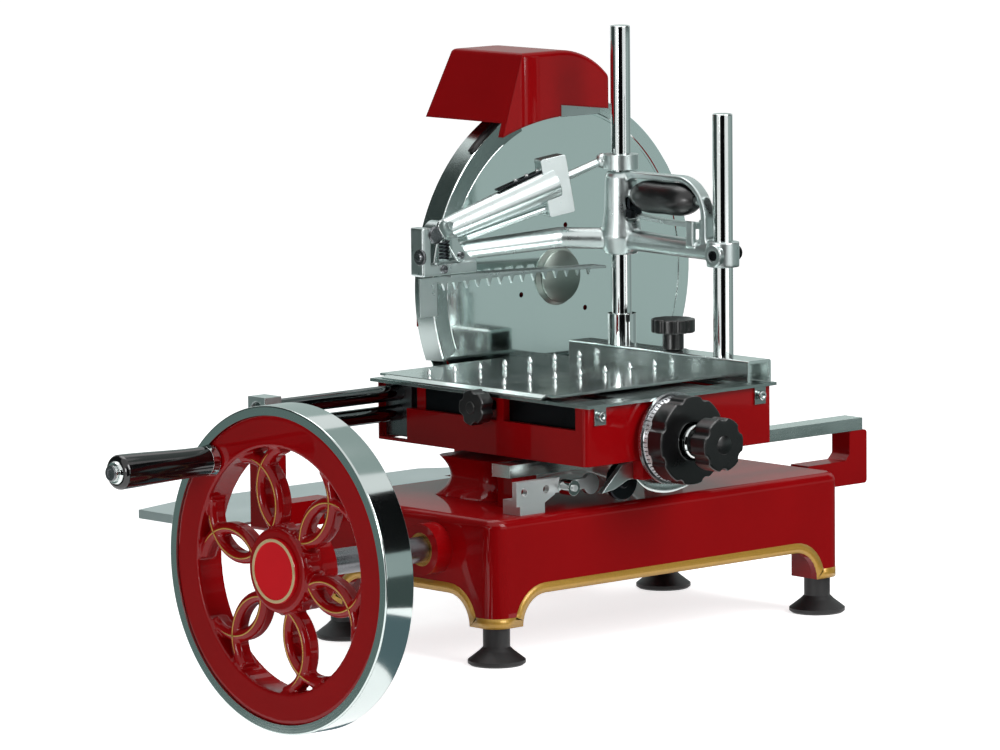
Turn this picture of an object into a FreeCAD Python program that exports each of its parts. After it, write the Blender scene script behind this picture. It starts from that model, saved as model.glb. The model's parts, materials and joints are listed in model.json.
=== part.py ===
"""Hand crank meat slicer with a flywheel, a round blade and a sliding meat table.

Millimetres. The origin is the centre of the four feet on the bench top, +X runs along the
machine away from the flywheel, +Y from the operator to the blade, +Z up. The flywheel hangs
past the end of the bench, so its rim reaches below the bench top.
"""
import os
import FreeCAD
import Part
from math import asin, atan2, cos, degrees, pi, radians, sin, sqrt

V = FreeCAD.Vector

# Clearances
RUN = 0.05
SKIN = 0.3

# Base casting
BASE_LENGTH = 379.0
BASE_DEPTH = 207.0
BASE_TOP = 113.8
BASE_WALL = 6.0
BASE_CORNER = 14.0
BASE_TOP_ROUND = 7.0
LEG_WIDTH = 29.0
LEG_FOOT = 29.2
ARCH_TOP = 53.0
FOOT_RADIUS = 22.5
FOOT_LIP = 4.0
FOOT_HEIGHT = 14.0
FOOT_STEM = 10.5
FOOT_INSET = 14.5

# Flywheel and its handle
WHEEL_Y = -35.4
WHEEL_Z = 86.7
WHEEL_FRONT = -351.0
WHEEL_WIDTH = 27.9
WHEEL_RADIUS = 125.4
TYRE_DEPTH = 7.4
RIM_DEPTH = 24.0
RIM_INSET = 1.5
HUB_RADIUS = 33.0
HUB_BACK = 6.0
CAP_RADIUS = 25.0
CAP_RING = 2.6
CAP_HEIGHT = 2.4
PETALS = 6
PETAL_TURN = 15.0
PETAL_CENTRE = 56.5
PETAL_BOW = 33.8
PETAL_SAG = 10.0
ARM_WIDTH = 9.0
ARM_DEPTH = 15.0
ARM_ROUND = 3.0
WHEEL_SHAFT = 10.0
HANDLE_RADIUS = 107.5
HANDLE_TURN = 134.2
HANDLE_LUG = 10.0
PIN_RADIUS = 5.0
GRIP_LENGTH = 87.5
GRIP_SMALL = 11.3
GRIP_LARGE = 13.4
FERRULE_LENGTH = 6.0
WASHER_RADIUS = 9.0
WASHER_LENGTH = 2.0

# Gear train
BLADE_X = 89.0
MITRE_TEETH = 20
MITRE_RADIUS = 17.0
MITRE_FACE = 0.4
SHAFT_END = 6.0
CROSS_SHAFT = 8.0
LOWER_TEETH = 40
IDLER_TEETH = 44
BLADE_TEETH = 20
GEAR_WIDTH = 12.0
GEAR_Y = 150.0
BUSH_WALL = 3.0
BUSH_LENGTH = 14.0
HANGER_X = 46.0
HANGER_Y = 10.0
HANGER_THICK = 10.0
HANGER_ROUND = 19.0

# Gear column behind the blade
COLUMN_FRONT = 137.0
COLUMN_BACK = 177.0
COLUMN_RADIUS = 61.0
COLUMN_WALL = 5.0
COVER_THICK = 5.0
NECK_HALF = 36.0
NECK_BOTTOM = 44.0
NECK_TOP = 106.0

# Blade and guard
BLADE_RADIUS = 150.0
BLADE_Z = 262.9
BLADE_Y = 122.0
BLADE_THICK = 3.4
BEVEL_DEPTH = 13.5
GROOVE = 1.6
FLANGE_RADIUS = 24.0
FLANGE_THICK = 3.6
BACK_FLANGE_RADIUS = 32.0
BACK_FLANGE_THICK = 4.0
SCREW_CIRCLE = 42.0
SCREW_HOLE = 2.2
GUARD_GAP = 2.2
GUARD_FLARE = 1.8
GUARD_FLANGE = 18.5
GUARD_SHEET = 1.2
GUARD_FRONT = 107.0
GUARD_BACK = 126.0
GUARD_SLANT = 2.4
GUARD_START = 112.0
GUARD_END = 202.0
GUARD_ARM_TURNS = (165.0, 188.0)
GUARD_ARM_HALF = 8.0
GUARD_ARM_BACK = 135.0

# Sharpener
HOOD_FRONT = 78.0
HOOD_DEPTH_TOP = 83.0
HOOD_DEPTH_BOTTOM = 98.0
HOOD_LEFT = -10.0
HOOD_TOP_LEFT = 12.0
HOOD_RIGHT = 106.0
HOOD_SKIRT = 27.9
HOOD_STEP_DROP = 8.9
HOOD_RISE = 38.1
CROWN_DROP = 21.0
CROWN_RUN = 52.0
SIDE_LIFT = 11.0
HOOD_WALL = 4.0
HOOD_ROUND = 4.0
STONE_RADIUS = 17.0
STONE_THICK = 8.0
STONE_X = 74.0
STONE_GAP = 0.6
SPINDLE = 4.0
FRAME_BEAM = 6.0
FRAME_BACK = 160.0

# Carriage slide
ROD_RADIUS = 6.5
ROD_Y = 92.0
ROD_LOW = 173.0
ROD_STEP = 16.0
ROD_LEFT = -258.0
ROD_RIGHT = 205.0
BLOCK_LENGTH = 17.0
BLOCK_DEPTH = 20.0
BLOCK_BOTTOM = 154.0
BLOCK_TOP = 199.0
BRACKET_BOTTOM = 94.0
BRACKET_ARM = 20.0
BRACKET_DEPTH = 20.0
BAR_LEFT = -138.0
BAR_RIGHT = 252.0
BAR_FRONT = -65.2
BAR_DEPTH = 20.0
BAR_BOTTOM = 137.9
BAR_HEIGHT = 10.0

# Carriage box
BOX_LEFT = -118.8
BOX_RIGHT = 82.7
BOX_FRONT = -131.6
BOX_BACK = 112.0
BOX_BOTTOM = 150.9
BOX_TOP = 196.6
BOX_WALL = 5.0
WINDOW_SILL = 178.5
WINDOW_REAR = 71.0
WINDOW_RIB_REAR = -30.0
WINDOW_RIB_FRONT = -38.0
WINDOW_FRONT = -119.5
PLATE_THICK = 2.5
PLATE_OVER = 3.0
PLATE_FRONT_OVER = 5.0
SADDLE_LEFT = -112.0
SADDLE_RIGHT = -36.0
SADDLE_DEPTH = 30.0
ROLLER_X = 20.0
ROLLER_RADIUS = 9.0
ROLLER_WIDTH = 12.0
ROLLER_PIN = 3.0

# Meat table, rail and posts
TABLE_LEFT = -120.0
TABLE_RIGHT = 56.5
TABLE_FRONT = -99.6
TABLE_BACK = 105.0
TABLE_TOP = 204.0
TABLE_SHEET = 2.0
LIP_DROP = 2.6
LIP_OUT = 5.0
RAIL_RIGHT = 82.0
RAIL_FRONT = -131.0
RAIL_BACK = 74.0
RAIL_TOP = 217.0
RAIL_SHEET = 2.5
POST_RADIUS = 8.0
POST_X = 69.0
POST_REAR_Y = 25.0
POST_FRONT_Y = -91.0
POST_REAR_TOP = 473.0
POST_FRONT_TOP = 409.0
COLLAR_RADIUS = 11.5
COLLAR_HEIGHT = 25.0
SPIKES = 7
SPIKE_STEP = 27.0
SPIKE_X = -115.0
SPIKE_FRONT_Y = -35.0
SPIKE_BACK_Y = 52.0
SPIKE_HEIGHT = 8.0
SPIKE_RADIUS = 2.2
FEED_TRAVEL = 120.0

# Knobs and feed screw
DIAL_X = -33.0
DIAL_Z = 166.0
SPACER_RADIUS = 29.0
SPACER_THICK = 5.4
SKIRT_RADIUS = 36.0
SKIRT_THICK = 3.0
RING_RADIUS = 33.5
RING_THICK = 5.0
DIAL_RADIUS = 34.5
DIAL_THICK = 16.0
DIAL_CUP = 15.0
FEED_KNOB_RADIUS = 21.0
FEED_KNOB_THICK = 17.0
FEED_KNOB_GAP = 17.0
KNOB_STEM = 6.5
SCREW_RADIUS = 5.0
SCREW_BACK = 60.0
GUIDE_RADIUS = 5.0
GUIDE_LEFT_X = -80.0
GUIDE_RIGHT_X = 40.0
GUIDE_Z = 184.0
SHOE_HALF = 9.0
SHOE_LENGTH = 44.0
STAR_Y = -21.0
STAR_Z = 189.0
STAR_RADIUS = 14.0
STAR_THICK = 12.0
STAR_STUD = 4.0
CLAMP_Y = -34.0
CLAMP_RADIUS = 17.5
CLAMP_THICK = 11.0
CLAMP_STEM = 8.5
CLAMP_LIFT = 14.0

# Feed gear below the box
FEED_Y = -97.0
FEED_THICK = 5.0
BRACKET_INSET = 29.5
BRACKET_WIDTH = 40.0
FEED_LOW = 121.0
FEED_HIGH = 140.0
ROLLER_REACH = 10.0
FEED_ROLLER_RADIUS = 6.0
FEED_ROLLER_LENGTH = 12.0

# Meat press
SLEEVE_RADIUS = 14.0
SLEEVE_LOW = 300.0
SLEEVE_HIGH = 356.0
SLEEVE_WINDOW = 18.0
COLLAR_LOW = 358.0
COLLAR_HIGH = 370.0
PRESS_ARM_Z = 302.0
PRESS_ARM_RADIUS = 8.5
END_X = -62.0
END_Y = 86.0
COMB_Y = 96.0
COMB_LEFT = -64.0
COMB_RIGHT = 106.0
COMB_Z = 271.0
COMB_SHEET = 2.0
COMB_TEETH = 14
COMB_TOOTH = 6.0
STRUT_LARGE = 13.0
STRUT_SMALL = 9.0
STRUT_ROD_DROP = 19.0
GRIP_Z = 338.0
GRIP_REAR = 9.0
GRIP_FRONT = -62.0
GRIP_RADIUS = 13.0
GRIP_CORE = 4.0
BOW_WIDTH = 11.0
BOW_LEG = -71.0
BOW_THICK = 6.0
LEVER_Z = 318.4
LEVER_Y = -62.0
LEVER_PIN = 1.6

# Slice tray
TRAY_LEFT = -270.0
TRAY_RIGHT = 70.0
TRAY_GAP = 8.5
TRAY_BACK = 240.0
TRAY_TOP = 98.0
TRAY_SHEET = 2.0
TRAY_LIP = 7.0

# Values that follow from the sizes above
BASE_X = BASE_LENGTH / 2
BASE_Y = BASE_DEPTH / 2
TRAY_FRONT = BASE_Y + TRAY_GAP
WHEEL_BACK = WHEEL_FRONT + WHEEL_WIDTH
SPIDER_RADIUS = WHEEL_RADIUS - TYRE_DEPTH
RIM_INNER = SPIDER_RADIUS - RIM_DEPTH
BLADE_TOP = BLADE_Z + BLADE_RADIUS
GUARD_OUTER = BLADE_RADIUS + GUARD_GAP
HOOD_BOTTOM = BLADE_TOP - HOOD_SKIRT
HOOD_STEP = BLADE_TOP - HOOD_STEP_DROP
HOOD_TOP = BLADE_TOP + HOOD_RISE
HOOD_SHOULDER = HOOD_TOP - CROWN_DROP
BRACKET_X = -BASE_X + BRACKET_INSET
FEED_ROLLER_X = BRACKET_X + BRACKET_WIDTH + ROLLER_REACH
GEAR_MODULE = 2 * (BLADE_Z - WHEEL_Z) / (LOWER_TEETH + 2 * IDLER_TEETH + BLADE_TEETH)
IDLER_Z = WHEEL_Z + GEAR_MODULE * (LOWER_TEETH + IDLER_TEETH) / 2
MITRE_MODULE = 2 * MITRE_RADIUS / MITRE_TEETH
ROD_HIGH = ROD_LOW + ROD_STEP
SHOE_BACK = SCREW_BACK - 8
DIAL_BACK = BOX_FRONT - SPACER_THICK - SKIRT_THICK - RING_THICK - SKIN


def box(x0, x1, y0, y1, z0, z1):
    return Part.makeBox(x1 - x0, y1 - y0, z1 - z0, V(x0, y0, z0))


def rod(start, axis, length, radius):
    return Part.makeCylinder(radius, length, V(*start), V(*axis))


def cone(start, axis, length, first, last):
    return Part.makeCone(first, last, length, V(*start), V(*axis))


def bar(start, end, first, last):
    """A round bar between two points, tapered if its end radii differ."""
    a = V(*start)
    run = V(*end) - a
    if abs(first - last) < 1e-6:
        return Part.makeCylinder(first, run.Length, a, run)
    return Part.makeCone(first, last, run.Length, a, run)


def ball(centre, radius):
    return Part.makeSphere(radius, V(*centre))


def fuse(first, *others):
    return first.multiFuse(list(others)).removeSplitter()


def face_of(points):
    corners = [V(*p) for p in points]
    return Part.Face(Part.makePolygon(corners + [corners[0]]))


def prism(points, run):
    return face_of(points).extrude(V(*run))


def spin(points, centre, axis, angle=360.0):
    """Turns a flat outline about an axis."""
    return face_of(points).revolve(V(*centre), V(*axis), angle)


def fillet_where(shape, radius, test):
    edges = [e for e in shape.Edges if test(e)]
    return shape.makeFillet(radius, edges)


def along(edge, axis):
    """True for a straight edge parallel to an axis."""
    if edge.Curve.TypeId != "Part::GeomLine":
        return False
    direction = edge.Vertexes[1].Point - edge.Vertexes[0].Point
    return abs(direction.normalize().dot(V(*axis))) > 0.999


def rounded_block(x0, x1, y0, y1, z0, z1, corner):
    return fillet_where(box(x0, x1, y0, y1, z0, z1), corner, lambda e: along(e, (0, 0, 1)))


def tooth_ring(teeth, pitch, module, up, down, scale=1.0):
    """Outline of a toothed wheel as polar pairs, with a tooth centred on angle zero."""
    step = 2 * pi / teeth
    tip = (pitch + up * module) * scale
    root = (pitch - down * module) * scale
    pairs = []
    for n in range(teeth):
        middle = n * step
        pairs += [(root, middle - 0.30 * step), (tip, middle - 0.10 * step)]
        pairs += [(tip, middle + 0.10 * step), (root, middle + 0.30 * step)]
    return pairs


def spur_gear(teeth, y0, centre_z, bore, tooth_angle):
    pitch = GEAR_MODULE * teeth / 2
    pairs = tooth_ring(teeth, pitch, GEAR_MODULE, 0.8, 1.1)
    points = []
    for r, a in pairs:
        turn = a + tooth_angle
        points.append((BLADE_X + r * cos(turn), y0, centre_z + r * sin(turn)))
    gear = prism(points, (0, GEAR_WIDTH, 0))
    hub = rod((BLADE_X, y0 - 2, centre_z), (0, 1, 0), GEAR_WIDTH + 4, bore + 6)
    web = pitch - 2.6 * GEAR_MODULE
    if web - bore > 14:
        dish = rod((BLADE_X, y0 - 1, centre_z), (0, 1, 0), 4, web)
        dish = dish.fuse(rod((BLADE_X, y0 + GEAR_WIDTH - 3, centre_z), (0, 1, 0), 4, web))
        gear = gear.cut(dish)
    return gear.fuse(hub).cut(rod((BLADE_X, y0 - 3, centre_z), (0, 1, 0), GEAR_WIDTH + 6, bore))


def mitre_gear(bore):
    """A mitre gear about +X whose cone apex is at the origin, body towards -X."""
    wires = []
    for scale in (1.0, 1.0 - MITRE_FACE):
        pairs = tooth_ring(MITRE_TEETH, MITRE_RADIUS, MITRE_MODULE, 0.7, 1.1, scale)
        corners = [V(-MITRE_RADIUS * scale, r * cos(a), r * sin(a)) for r, a in pairs]
        wires.append(Part.makePolygon(corners + [corners[0]]))
    teeth = Part.makeLoft(wires, True, True)
    hub = rod((-MITRE_RADIUS - 8, 0, 0), (1, 0, 0), 8.0, bore + 5)
    return teeth.fuse(hub).cut(rod((-MITRE_RADIUS - 9, 0, 0), (1, 0, 0), 20, bore))


def base_casting():
    outer = rounded_block(-BASE_X, BASE_X, -BASE_Y, BASE_Y, LEG_FOOT, BASE_TOP, BASE_CORNER)
    outer = fillet_where(outer, BASE_TOP_ROUND, lambda e: e.BoundBox.ZMin > BASE_TOP - 0.01)
    inner = rounded_block(-BASE_X + BASE_WALL, BASE_X - BASE_WALL, -BASE_Y + BASE_WALL,
                          BASE_Y - BASE_WALL, LEG_FOOT - 1, BASE_TOP - BASE_WALL,
                          BASE_CORNER - BASE_WALL)
    for sx in (-1, 1):
        for sy in (-1, 1):
            leg = box(min(sx * BASE_X, sx * (BASE_X - LEG_WIDTH)),
                      max(sx * BASE_X, sx * (BASE_X - LEG_WIDTH)),
                      min(sy * BASE_Y, sy * (BASE_Y - LEG_WIDTH)),
                      max(sy * BASE_Y, sy * (BASE_Y - LEG_WIDTH)), LEG_FOOT - 2, BASE_TOP)
            inner = inner.cut(leg)
    casting = outer.cut(inner)
    casting = casting.cut(arch(BASE_X, (0, 1, 0), BASE_Y))
    casting = casting.cut(arch(BASE_Y, (1, 0, 0), BASE_X))
    boss = rod((-BASE_X - 15, WHEEL_Y, WHEEL_Z), (1, 0, 0), 15 + BASE_WALL, 20)
    hanger = hanger_block().common(box(-BASE_X, BASE_X, -BASE_Y, BASE_Y, 0, BASE_TOP - 1))
    casting = fuse(casting, boss, hanger)
    bush = WHEEL_SHAFT + BUSH_WALL
    casting = casting.cut(rod((-BASE_X - 20, WHEEL_Y, WHEEL_Z), (1, 0, 0), 60, bush))
    casting = casting.cut(rod((HANGER_X - 10, WHEEL_Y, WHEEL_Z), (1, 0, 0), 20, bush))
    cross = CROSS_SHAFT + BUSH_WALL
    return casting.cut(rod((BLADE_X, HANGER_Y - 10, WHEEL_Z), (0, 1, 0), BASE_Y + 10, cross))


def arch(half, run, other):
    """The space between two legs, with rounded shoulders."""
    rise = ARCH_TOP - LEG_FOOT
    low = half - LEG_WIDTH
    high = low - rise
    spot = (lambda a, z: V(a, -other - 5, z)) if run[1] else (lambda a, z: V(-other - 5, a, z))
    bend = rise * (1 - 1 / sqrt(2))
    left = Part.Arc(spot(-low, LEG_FOOT), spot(-low + bend, ARCH_TOP - bend),
                    spot(-high, ARCH_TOP)).toShape()
    right = Part.Arc(spot(high, ARCH_TOP), spot(low - bend, ARCH_TOP - bend),
                     spot(low, LEG_FOOT)).toShape()
    top = Part.makeLine(spot(-high, ARCH_TOP), spot(high, ARCH_TOP))
    drop = Part.makePolygon([spot(low, LEG_FOOT), spot(low, LEG_FOOT - 3),
                             spot(-low, LEG_FOOT - 3), spot(-low, LEG_FOOT)])
    outline = Part.Wire(Part.__sortEdges__([left, top, right] + drop.Edges))
    return Part.Face(outline).extrude(V(*run) * (2 * other + 10))


def hanger_block():
    """Two ribs under the top that hold the inner bushes."""
    first = rod((HANGER_X - HANGER_THICK / 2, WHEEL_Y, WHEEL_Z), (1, 0, 0), HANGER_THICK,
                HANGER_ROUND)
    first_top = box(HANGER_X - HANGER_THICK / 2, HANGER_X + HANGER_THICK / 2,
                    WHEEL_Y - HANGER_ROUND, WHEEL_Y + HANGER_ROUND, WHEEL_Z, BASE_TOP)
    second = rod((BLADE_X, HANGER_Y - HANGER_THICK / 2, WHEEL_Z), (0, 1, 0), HANGER_THICK,
                 HANGER_ROUND)
    second_top = box(BLADE_X - HANGER_ROUND, BLADE_X + HANGER_ROUND, HANGER_Y - HANGER_THICK / 2,
                     HANGER_Y + HANGER_THICK / 2, WHEEL_Z, BASE_TOP)
    return fuse(first, first_top, second, second_top)


def rubber_feet():
    outline = [(0, 0), (FOOT_RADIUS - 2, 0), (FOOT_RADIUS, 1.5), (FOOT_RADIUS, FOOT_LIP),
               (FOOT_STEM + 3, FOOT_HEIGHT - 3), (FOOT_STEM, FOOT_HEIGHT),
               (FOOT_STEM, LEG_FOOT), (0, LEG_FOOT)]
    feet = []
    for sx in (-1, 1):
        for sy in (-1, 1):
            x = sx * (BASE_X - FOOT_INSET)
            y = sy * (BASE_Y - FOOT_INSET)
            feet.append(spin([(x + r, y, z) for r, z in outline], (x, y, 0), (0, 0, 1)))
    return Part.makeCompound(feet)


def stadium(radius, y0, y1):
    lower = rod((BLADE_X, y0, WHEEL_Z), (0, 1, 0), y1 - y0, radius)
    upper = rod((BLADE_X, y0, BLADE_Z), (0, 1, 0), y1 - y0, radius)
    return fuse(lower, upper, box(BLADE_X - radius, BLADE_X + radius, y0, y1, WHEEL_Z, BLADE_Z))


def gear_column():
    column = stadium(COLUMN_RADIUS, COLUMN_FRONT, COLUMN_BACK)
    column = column.cut(stadium(COLUMN_RADIUS - COLUMN_WALL, COLUMN_FRONT + COLUMN_WALL,
                                COLUMN_BACK + 1))
    neck = box(BLADE_X - NECK_HALF, BLADE_X + NECK_HALF, BASE_Y, COLUMN_FRONT + 1,
               NECK_BOTTOM, NECK_TOP)
    neck = fillet_where(neck, 8, lambda e: along(e, (0, 1, 0)))
    boss = rod((BLADE_X, BLADE_Y + BLADE_THICK + BACK_FLANGE_THICK + SKIN, BLADE_Z), (0, 1, 0),
               GEAR_Y - 3 - BLADE_Y - BLADE_THICK - BACK_FLANGE_THICK, 19)
    pad = rod((BLADE_X, COLUMN_FRONT + 2, IDLER_Z), (0, 1, 0), GEAR_Y - 3 - COLUMN_FRONT - 2, 16)
    lower = rod((BLADE_X, COLUMN_FRONT, WHEEL_Z), (0, 1, 0), GEAR_Y - 3 - COLUMN_FRONT, 18)
    arms = [guard_arm(turn) for turn in GUARD_ARM_TURNS]
    post = box(STONE_X - 16, STONE_X + 20, COLUMN_FRONT + 6, COLUMN_BACK - 6,
               BLADE_Z + COLUMN_RADIUS - 10, HOOD_STEP - 2)
    column = fuse(column, neck, boss, pad, lower, post, *arms)
    hole = rod((BLADE_X, BASE_Y - 1, WHEEL_Z), (0, 1, 0), GEAR_Y - BASE_Y, CROSS_SHAFT + BUSH_WALL)
    column = column.cut(hole)
    column = column.cut(rod((BLADE_X, BLADE_Y, BLADE_Z), (0, 1, 0), GEAR_Y - BLADE_Y,
                            WHEEL_SHAFT + BUSH_WALL))
    return column.cut(rod((BLADE_X, COLUMN_FRONT - 1, IDLER_Z), (0, 1, 0), 20, CROSS_SHAFT))


def guard_arm(turn):
    """Flat arm from the column to the inside of the guard's rear edge."""
    reach = GUARD_OUTER - GUARD_SHEET
    tip = BLADE_X + reach * cos(radians(turn))
    z = BLADE_Z + reach * sin(radians(turn))
    root = BLADE_X - COLUMN_RADIUS * 0.55
    low = BLADE_Y + BLADE_THICK + 1.5
    outline = [(tip - GUARD_SHEET, GUARD_BACK), (tip + 8, GUARD_BACK), (tip + 14, low + 3),
               (root - 6, low + 3), (root, COLUMN_FRONT - 2), (root, COLUMN_FRONT + 1),
               (root - 12, COLUMN_FRONT + 1), (root - 20, GUARD_ARM_BACK),
               (tip + 8, GUARD_ARM_BACK)]
    points = [(x, y, z - GUARD_ARM_HALF) for x, y in outline]
    return prism(points, (0, 0, 2 * GUARD_ARM_HALF))


def gear_cover():
    cover = stadium(COLUMN_RADIUS, COLUMN_BACK, COLUMN_BACK + COVER_THICK)
    boss = rod((BLADE_X, COLUMN_BACK, BLADE_Z), (0, 1, 0), COVER_THICK + 6, 22)
    edge = stadium(COLUMN_RADIUS - 14, COLUMN_BACK + COVER_THICK, COLUMN_BACK + COVER_THICK + 2)
    cover = fuse(cover, boss, edge)
    return cover.cut(rod((BLADE_X, COLUMN_BACK - 1, BLADE_Z), (0, 1, 0), COVER_THICK + 2,
                         WHEEL_SHAFT + BUSH_WALL))


def bush(start, axis, length, radius):
    tube = rod(start, axis, length, radius + BUSH_WALL)
    ahead = tuple(s - a for s, a in zip(start, axis))
    return tube.cut(rod(ahead, axis, length + 2, radius + RUN))


def shaft_bushes():
    return Part.makeCompound([
        bush((-BASE_X - 15, WHEEL_Y, WHEEL_Z), (1, 0, 0), 15 + BASE_WALL, WHEEL_SHAFT),
        bush((HANGER_X - HANGER_THICK / 2, WHEEL_Y, WHEEL_Z), (1, 0, 0), HANGER_THICK, WHEEL_SHAFT),
        bush((BLADE_X, HANGER_Y - HANGER_THICK / 2, WHEEL_Z), (0, 1, 0), HANGER_THICK, CROSS_SHAFT),
        bush((BLADE_X, GEAR_Y - 3 - BUSH_LENGTH, WHEEL_Z), (0, 1, 0), BUSH_LENGTH, CROSS_SHAFT),
        bush((BLADE_X, GEAR_Y - 3 - BUSH_LENGTH, BLADE_Z), (0, 1, 0), BUSH_LENGTH, WHEEL_SHAFT),
        bush((BLADE_X, COLUMN_BACK, BLADE_Z), (0, 1, 0), COVER_THICK + 1, WHEEL_SHAFT),
    ])


def idler_stud():
    return rod((BLADE_X, COLUMN_FRONT, IDLER_Z), (0, 1, 0), COLUMN_BACK - COLUMN_FRONT, CROSS_SHAFT)


def blade_guard():
    """Flared band round the blade's edge with a flange over the edge's front."""
    front = GUARD_OUTER - GUARD_FLARE
    rim = front - GUARD_FLANGE
    y = GUARD_FRONT
    t = GUARD_SHEET
    pairs = [(rim, y + GUARD_SLANT), (front - t, y), (front, y), (GUARD_OUTER, GUARD_BACK),
             (GUARD_OUTER - t, GUARD_BACK), (front - t, y + t), (rim, y + GUARD_SLANT + t)]
    points = [(BLADE_X + r, y, BLADE_Z) for r, y in pairs]
    ring = spin(points, (BLADE_X, 0, BLADE_Z), (0, -1, 0), GUARD_END - GUARD_START)
    ring.rotate(V(BLADE_X, 0, BLADE_Z), V(0, -1, 0), GUARD_START)
    return ring


def hood_outline(inset, y):
    """The hood's front view, drawn in by a wall."""
    left = HOOD_LEFT + inset
    top = HOOD_TOP - inset
    right = HOOD_RIGHT - inset
    low = HOOD_BOTTOM - (inset and 3)
    step = HOOD_STEP - (inset and 20)
    middle = (HOOD_LEFT + HOOD_RIGHT) / 2 + 6
    bend = HOOD_RIGHT - CROWN_RUN
    end = HOOD_SHOULDER - inset * 0.6
    radius = ((right - bend) ** 2 + (top - end) ** 2) / (2 * (top - end))
    half = asin((right - bend) / radius) / 2
    crown = Part.Arc(V(bend, y, top), V(bend + radius * sin(half), y, top - radius * (1 - cos(half))),
                     V(right, y, end)).toShape()
    if inset:
        rest = Part.makePolygon([V(right, y, end), V(right, y, low),
                                 V(left, y, low), V(HOOD_TOP_LEFT + inset, y, top),
                                 V(bend, y, top)])
        return Part.Wire([crown] + rest.Edges)
    side = Part.makePolygon([V(right, y, HOOD_SHOULDER), V(right, y, step - 3),
                             V(middle, y, step + 3), V(middle, y, step - 6)])
    under = Part.Arc(V(middle, y, step - 6), V((middle + left) / 2, y, (step - 6 + low) / 2 + 2.5),
                     V(left, y, low)).toShape()
    rest = Part.makePolygon([V(left, y, low), V(HOOD_TOP_LEFT, y, top), V(bend, y, top)])
    return Part.Wire([crown] + side.Edges + [under] + rest.Edges)


def sharpener_hood():
    outer = Part.Face(hood_outline(0, HOOD_FRONT)).extrude(V(0, HOOD_DEPTH_BOTTOM, 0))
    back = HOOD_FRONT + HOOD_DEPTH_BOTTOM
    beside = HOOD_LEFT - HOOD_WALL
    across = HOOD_RIGHT - HOOD_LEFT + 2 * HOOD_WALL
    slope = prism([(beside, back + 1, HOOD_BOTTOM - 1), (beside, back + 30, HOOD_BOTTOM - 1),
                   (beside, back + 30, HOOD_TOP + 1),
                   (beside, HOOD_FRONT + HOOD_DEPTH_TOP, HOOD_TOP + 1)], (across, 0, 0))
    outer = outer.cut(slope)
    outer = fillet_where(outer, HOOD_ROUND, lambda e: e.BoundBox.ZMax > HOOD_TOP - 0.5
                         and e.BoundBox.ZMin > HOOD_BOTTOM + 5)
    inner = Part.Face(hood_outline(HOOD_WALL, HOOD_FRONT + HOOD_WALL))
    inner = inner.extrude(V(0, HOOD_DEPTH_BOTTOM - 2 * HOOD_WALL, 0))
    moved = slope.copy()
    moved.translate(V(0, -HOOD_WALL, 0))
    hood = outer.cut(inner.cut(moved))
    slot = rod((BLADE_X, GUARD_FRONT - 2, BLADE_Z), (0, 1, 0), GUARD_BACK - GUARD_FRONT + 4,
               GUARD_OUTER + 1.5)
    lifted = box(beside, HOOD_RIGHT + 1, HOOD_FRONT + 1.5 * HOOD_WALL, back + 1, HOOD_BOTTOM - 1,
                 HOOD_BOTTOM + SIDE_LIFT)
    return hood.cut(slot).cut(lifted)


def sharpener_body():
    """Frame round the two stones, standing on the column's post and carrying the hood."""
    y0 = HOOD_FRONT + HOOD_WALL
    half = STONE_RADIUS + 3 + FRAME_BEAM
    low = HOOD_STEP - 2
    high = stone_height() + 8
    front = box(STONE_X - half, STONE_X + half, y0, y0 + 22, low + 4, high)
    apron = box(STONE_X - STONE_RADIUS, STONE_X + half, y0, y0 + 8, low - 5, low + 5)
    back = box(STONE_X - 16, STONE_X + 20, COLUMN_FRONT + 6, FRAME_BACK, low, high)
    bridge = box(STONE_X - half, STONE_X + half, COLUMN_FRONT + 6, COLUMN_FRONT + 18, low + 12, high)
    beams = []
    for x in (STONE_X - half, STONE_X + half - FRAME_BEAM):
        beams.append(box(x, x + FRAME_BEAM, y0 + 10, COLUMN_FRONT + 10, low + 12, high))
    body = fuse(front, apron, back, bridge, *beams)
    return body.cut(rod((STONE_X, y0 - 1, stone_height()), (0, 1, 0), 200, SPINDLE + RUN))


def stone_height():
    """The stones' axis, high enough that only their lower rim lies over the blade's edge."""
    return BLADE_Z + BLADE_RADIUS + STONE_RADIUS - 10


def grinding_stones():
    z = stone_height()
    front = rod((STONE_X, BLADE_Y - STONE_GAP - STONE_THICK, z), (0, 1, 0), STONE_THICK,
                STONE_RADIUS)
    back_y = BLADE_Y + BLADE_THICK + STONE_GAP
    back = rod((STONE_X, back_y, z), (0, 1, 0), STONE_THICK, STONE_RADIUS)
    y0 = HOOD_FRONT + HOOD_WALL + 2
    return fuse(front, back, rod((STONE_X, y0, z), (0, 1, 0), COLUMN_BACK - 14 - y0, SPINDLE))


def end_bracket(side, y0, top):
    """A cast arm from the base's end wall with an upright at its tip."""
    tip = -ROD_LEFT + 1 if side < 0 else BAR_RIGHT + 5
    inner = tip - BRACKET_ARM
    low = BRACKET_BOTTOM
    high = BRACKET_BOTTOM + BRACKET_ARM
    outline = [(BASE_X, low), (tip, low), (tip, top), (inner, top), (inner, high + 5),
               (inner - 5, high), (BASE_X, high)]
    points = [(side * x, y0, z) for x, z in outline]
    arm = prism(points, (0, BRACKET_DEPTH, 0))
    return fillet_where(arm, 3, lambda e: along(e, (0, 1, 0))
                        and abs(e.BoundBox.XMin) > BASE_X + 1)


def rod_block(x0, x1, top):
    block = box(x0, x1, ROD_Y - BLOCK_DEPTH / 2, ROD_Y + BLOCK_DEPTH / 2, BLOCK_BOTTOM, top)
    for z in (ROD_LOW, ROD_HIGH):
        block = block.cut(rod((x0 - 1, ROD_Y, z), (1, 0, 0), x1 - x0 + 2, ROD_RADIUS))
    return block


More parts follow.
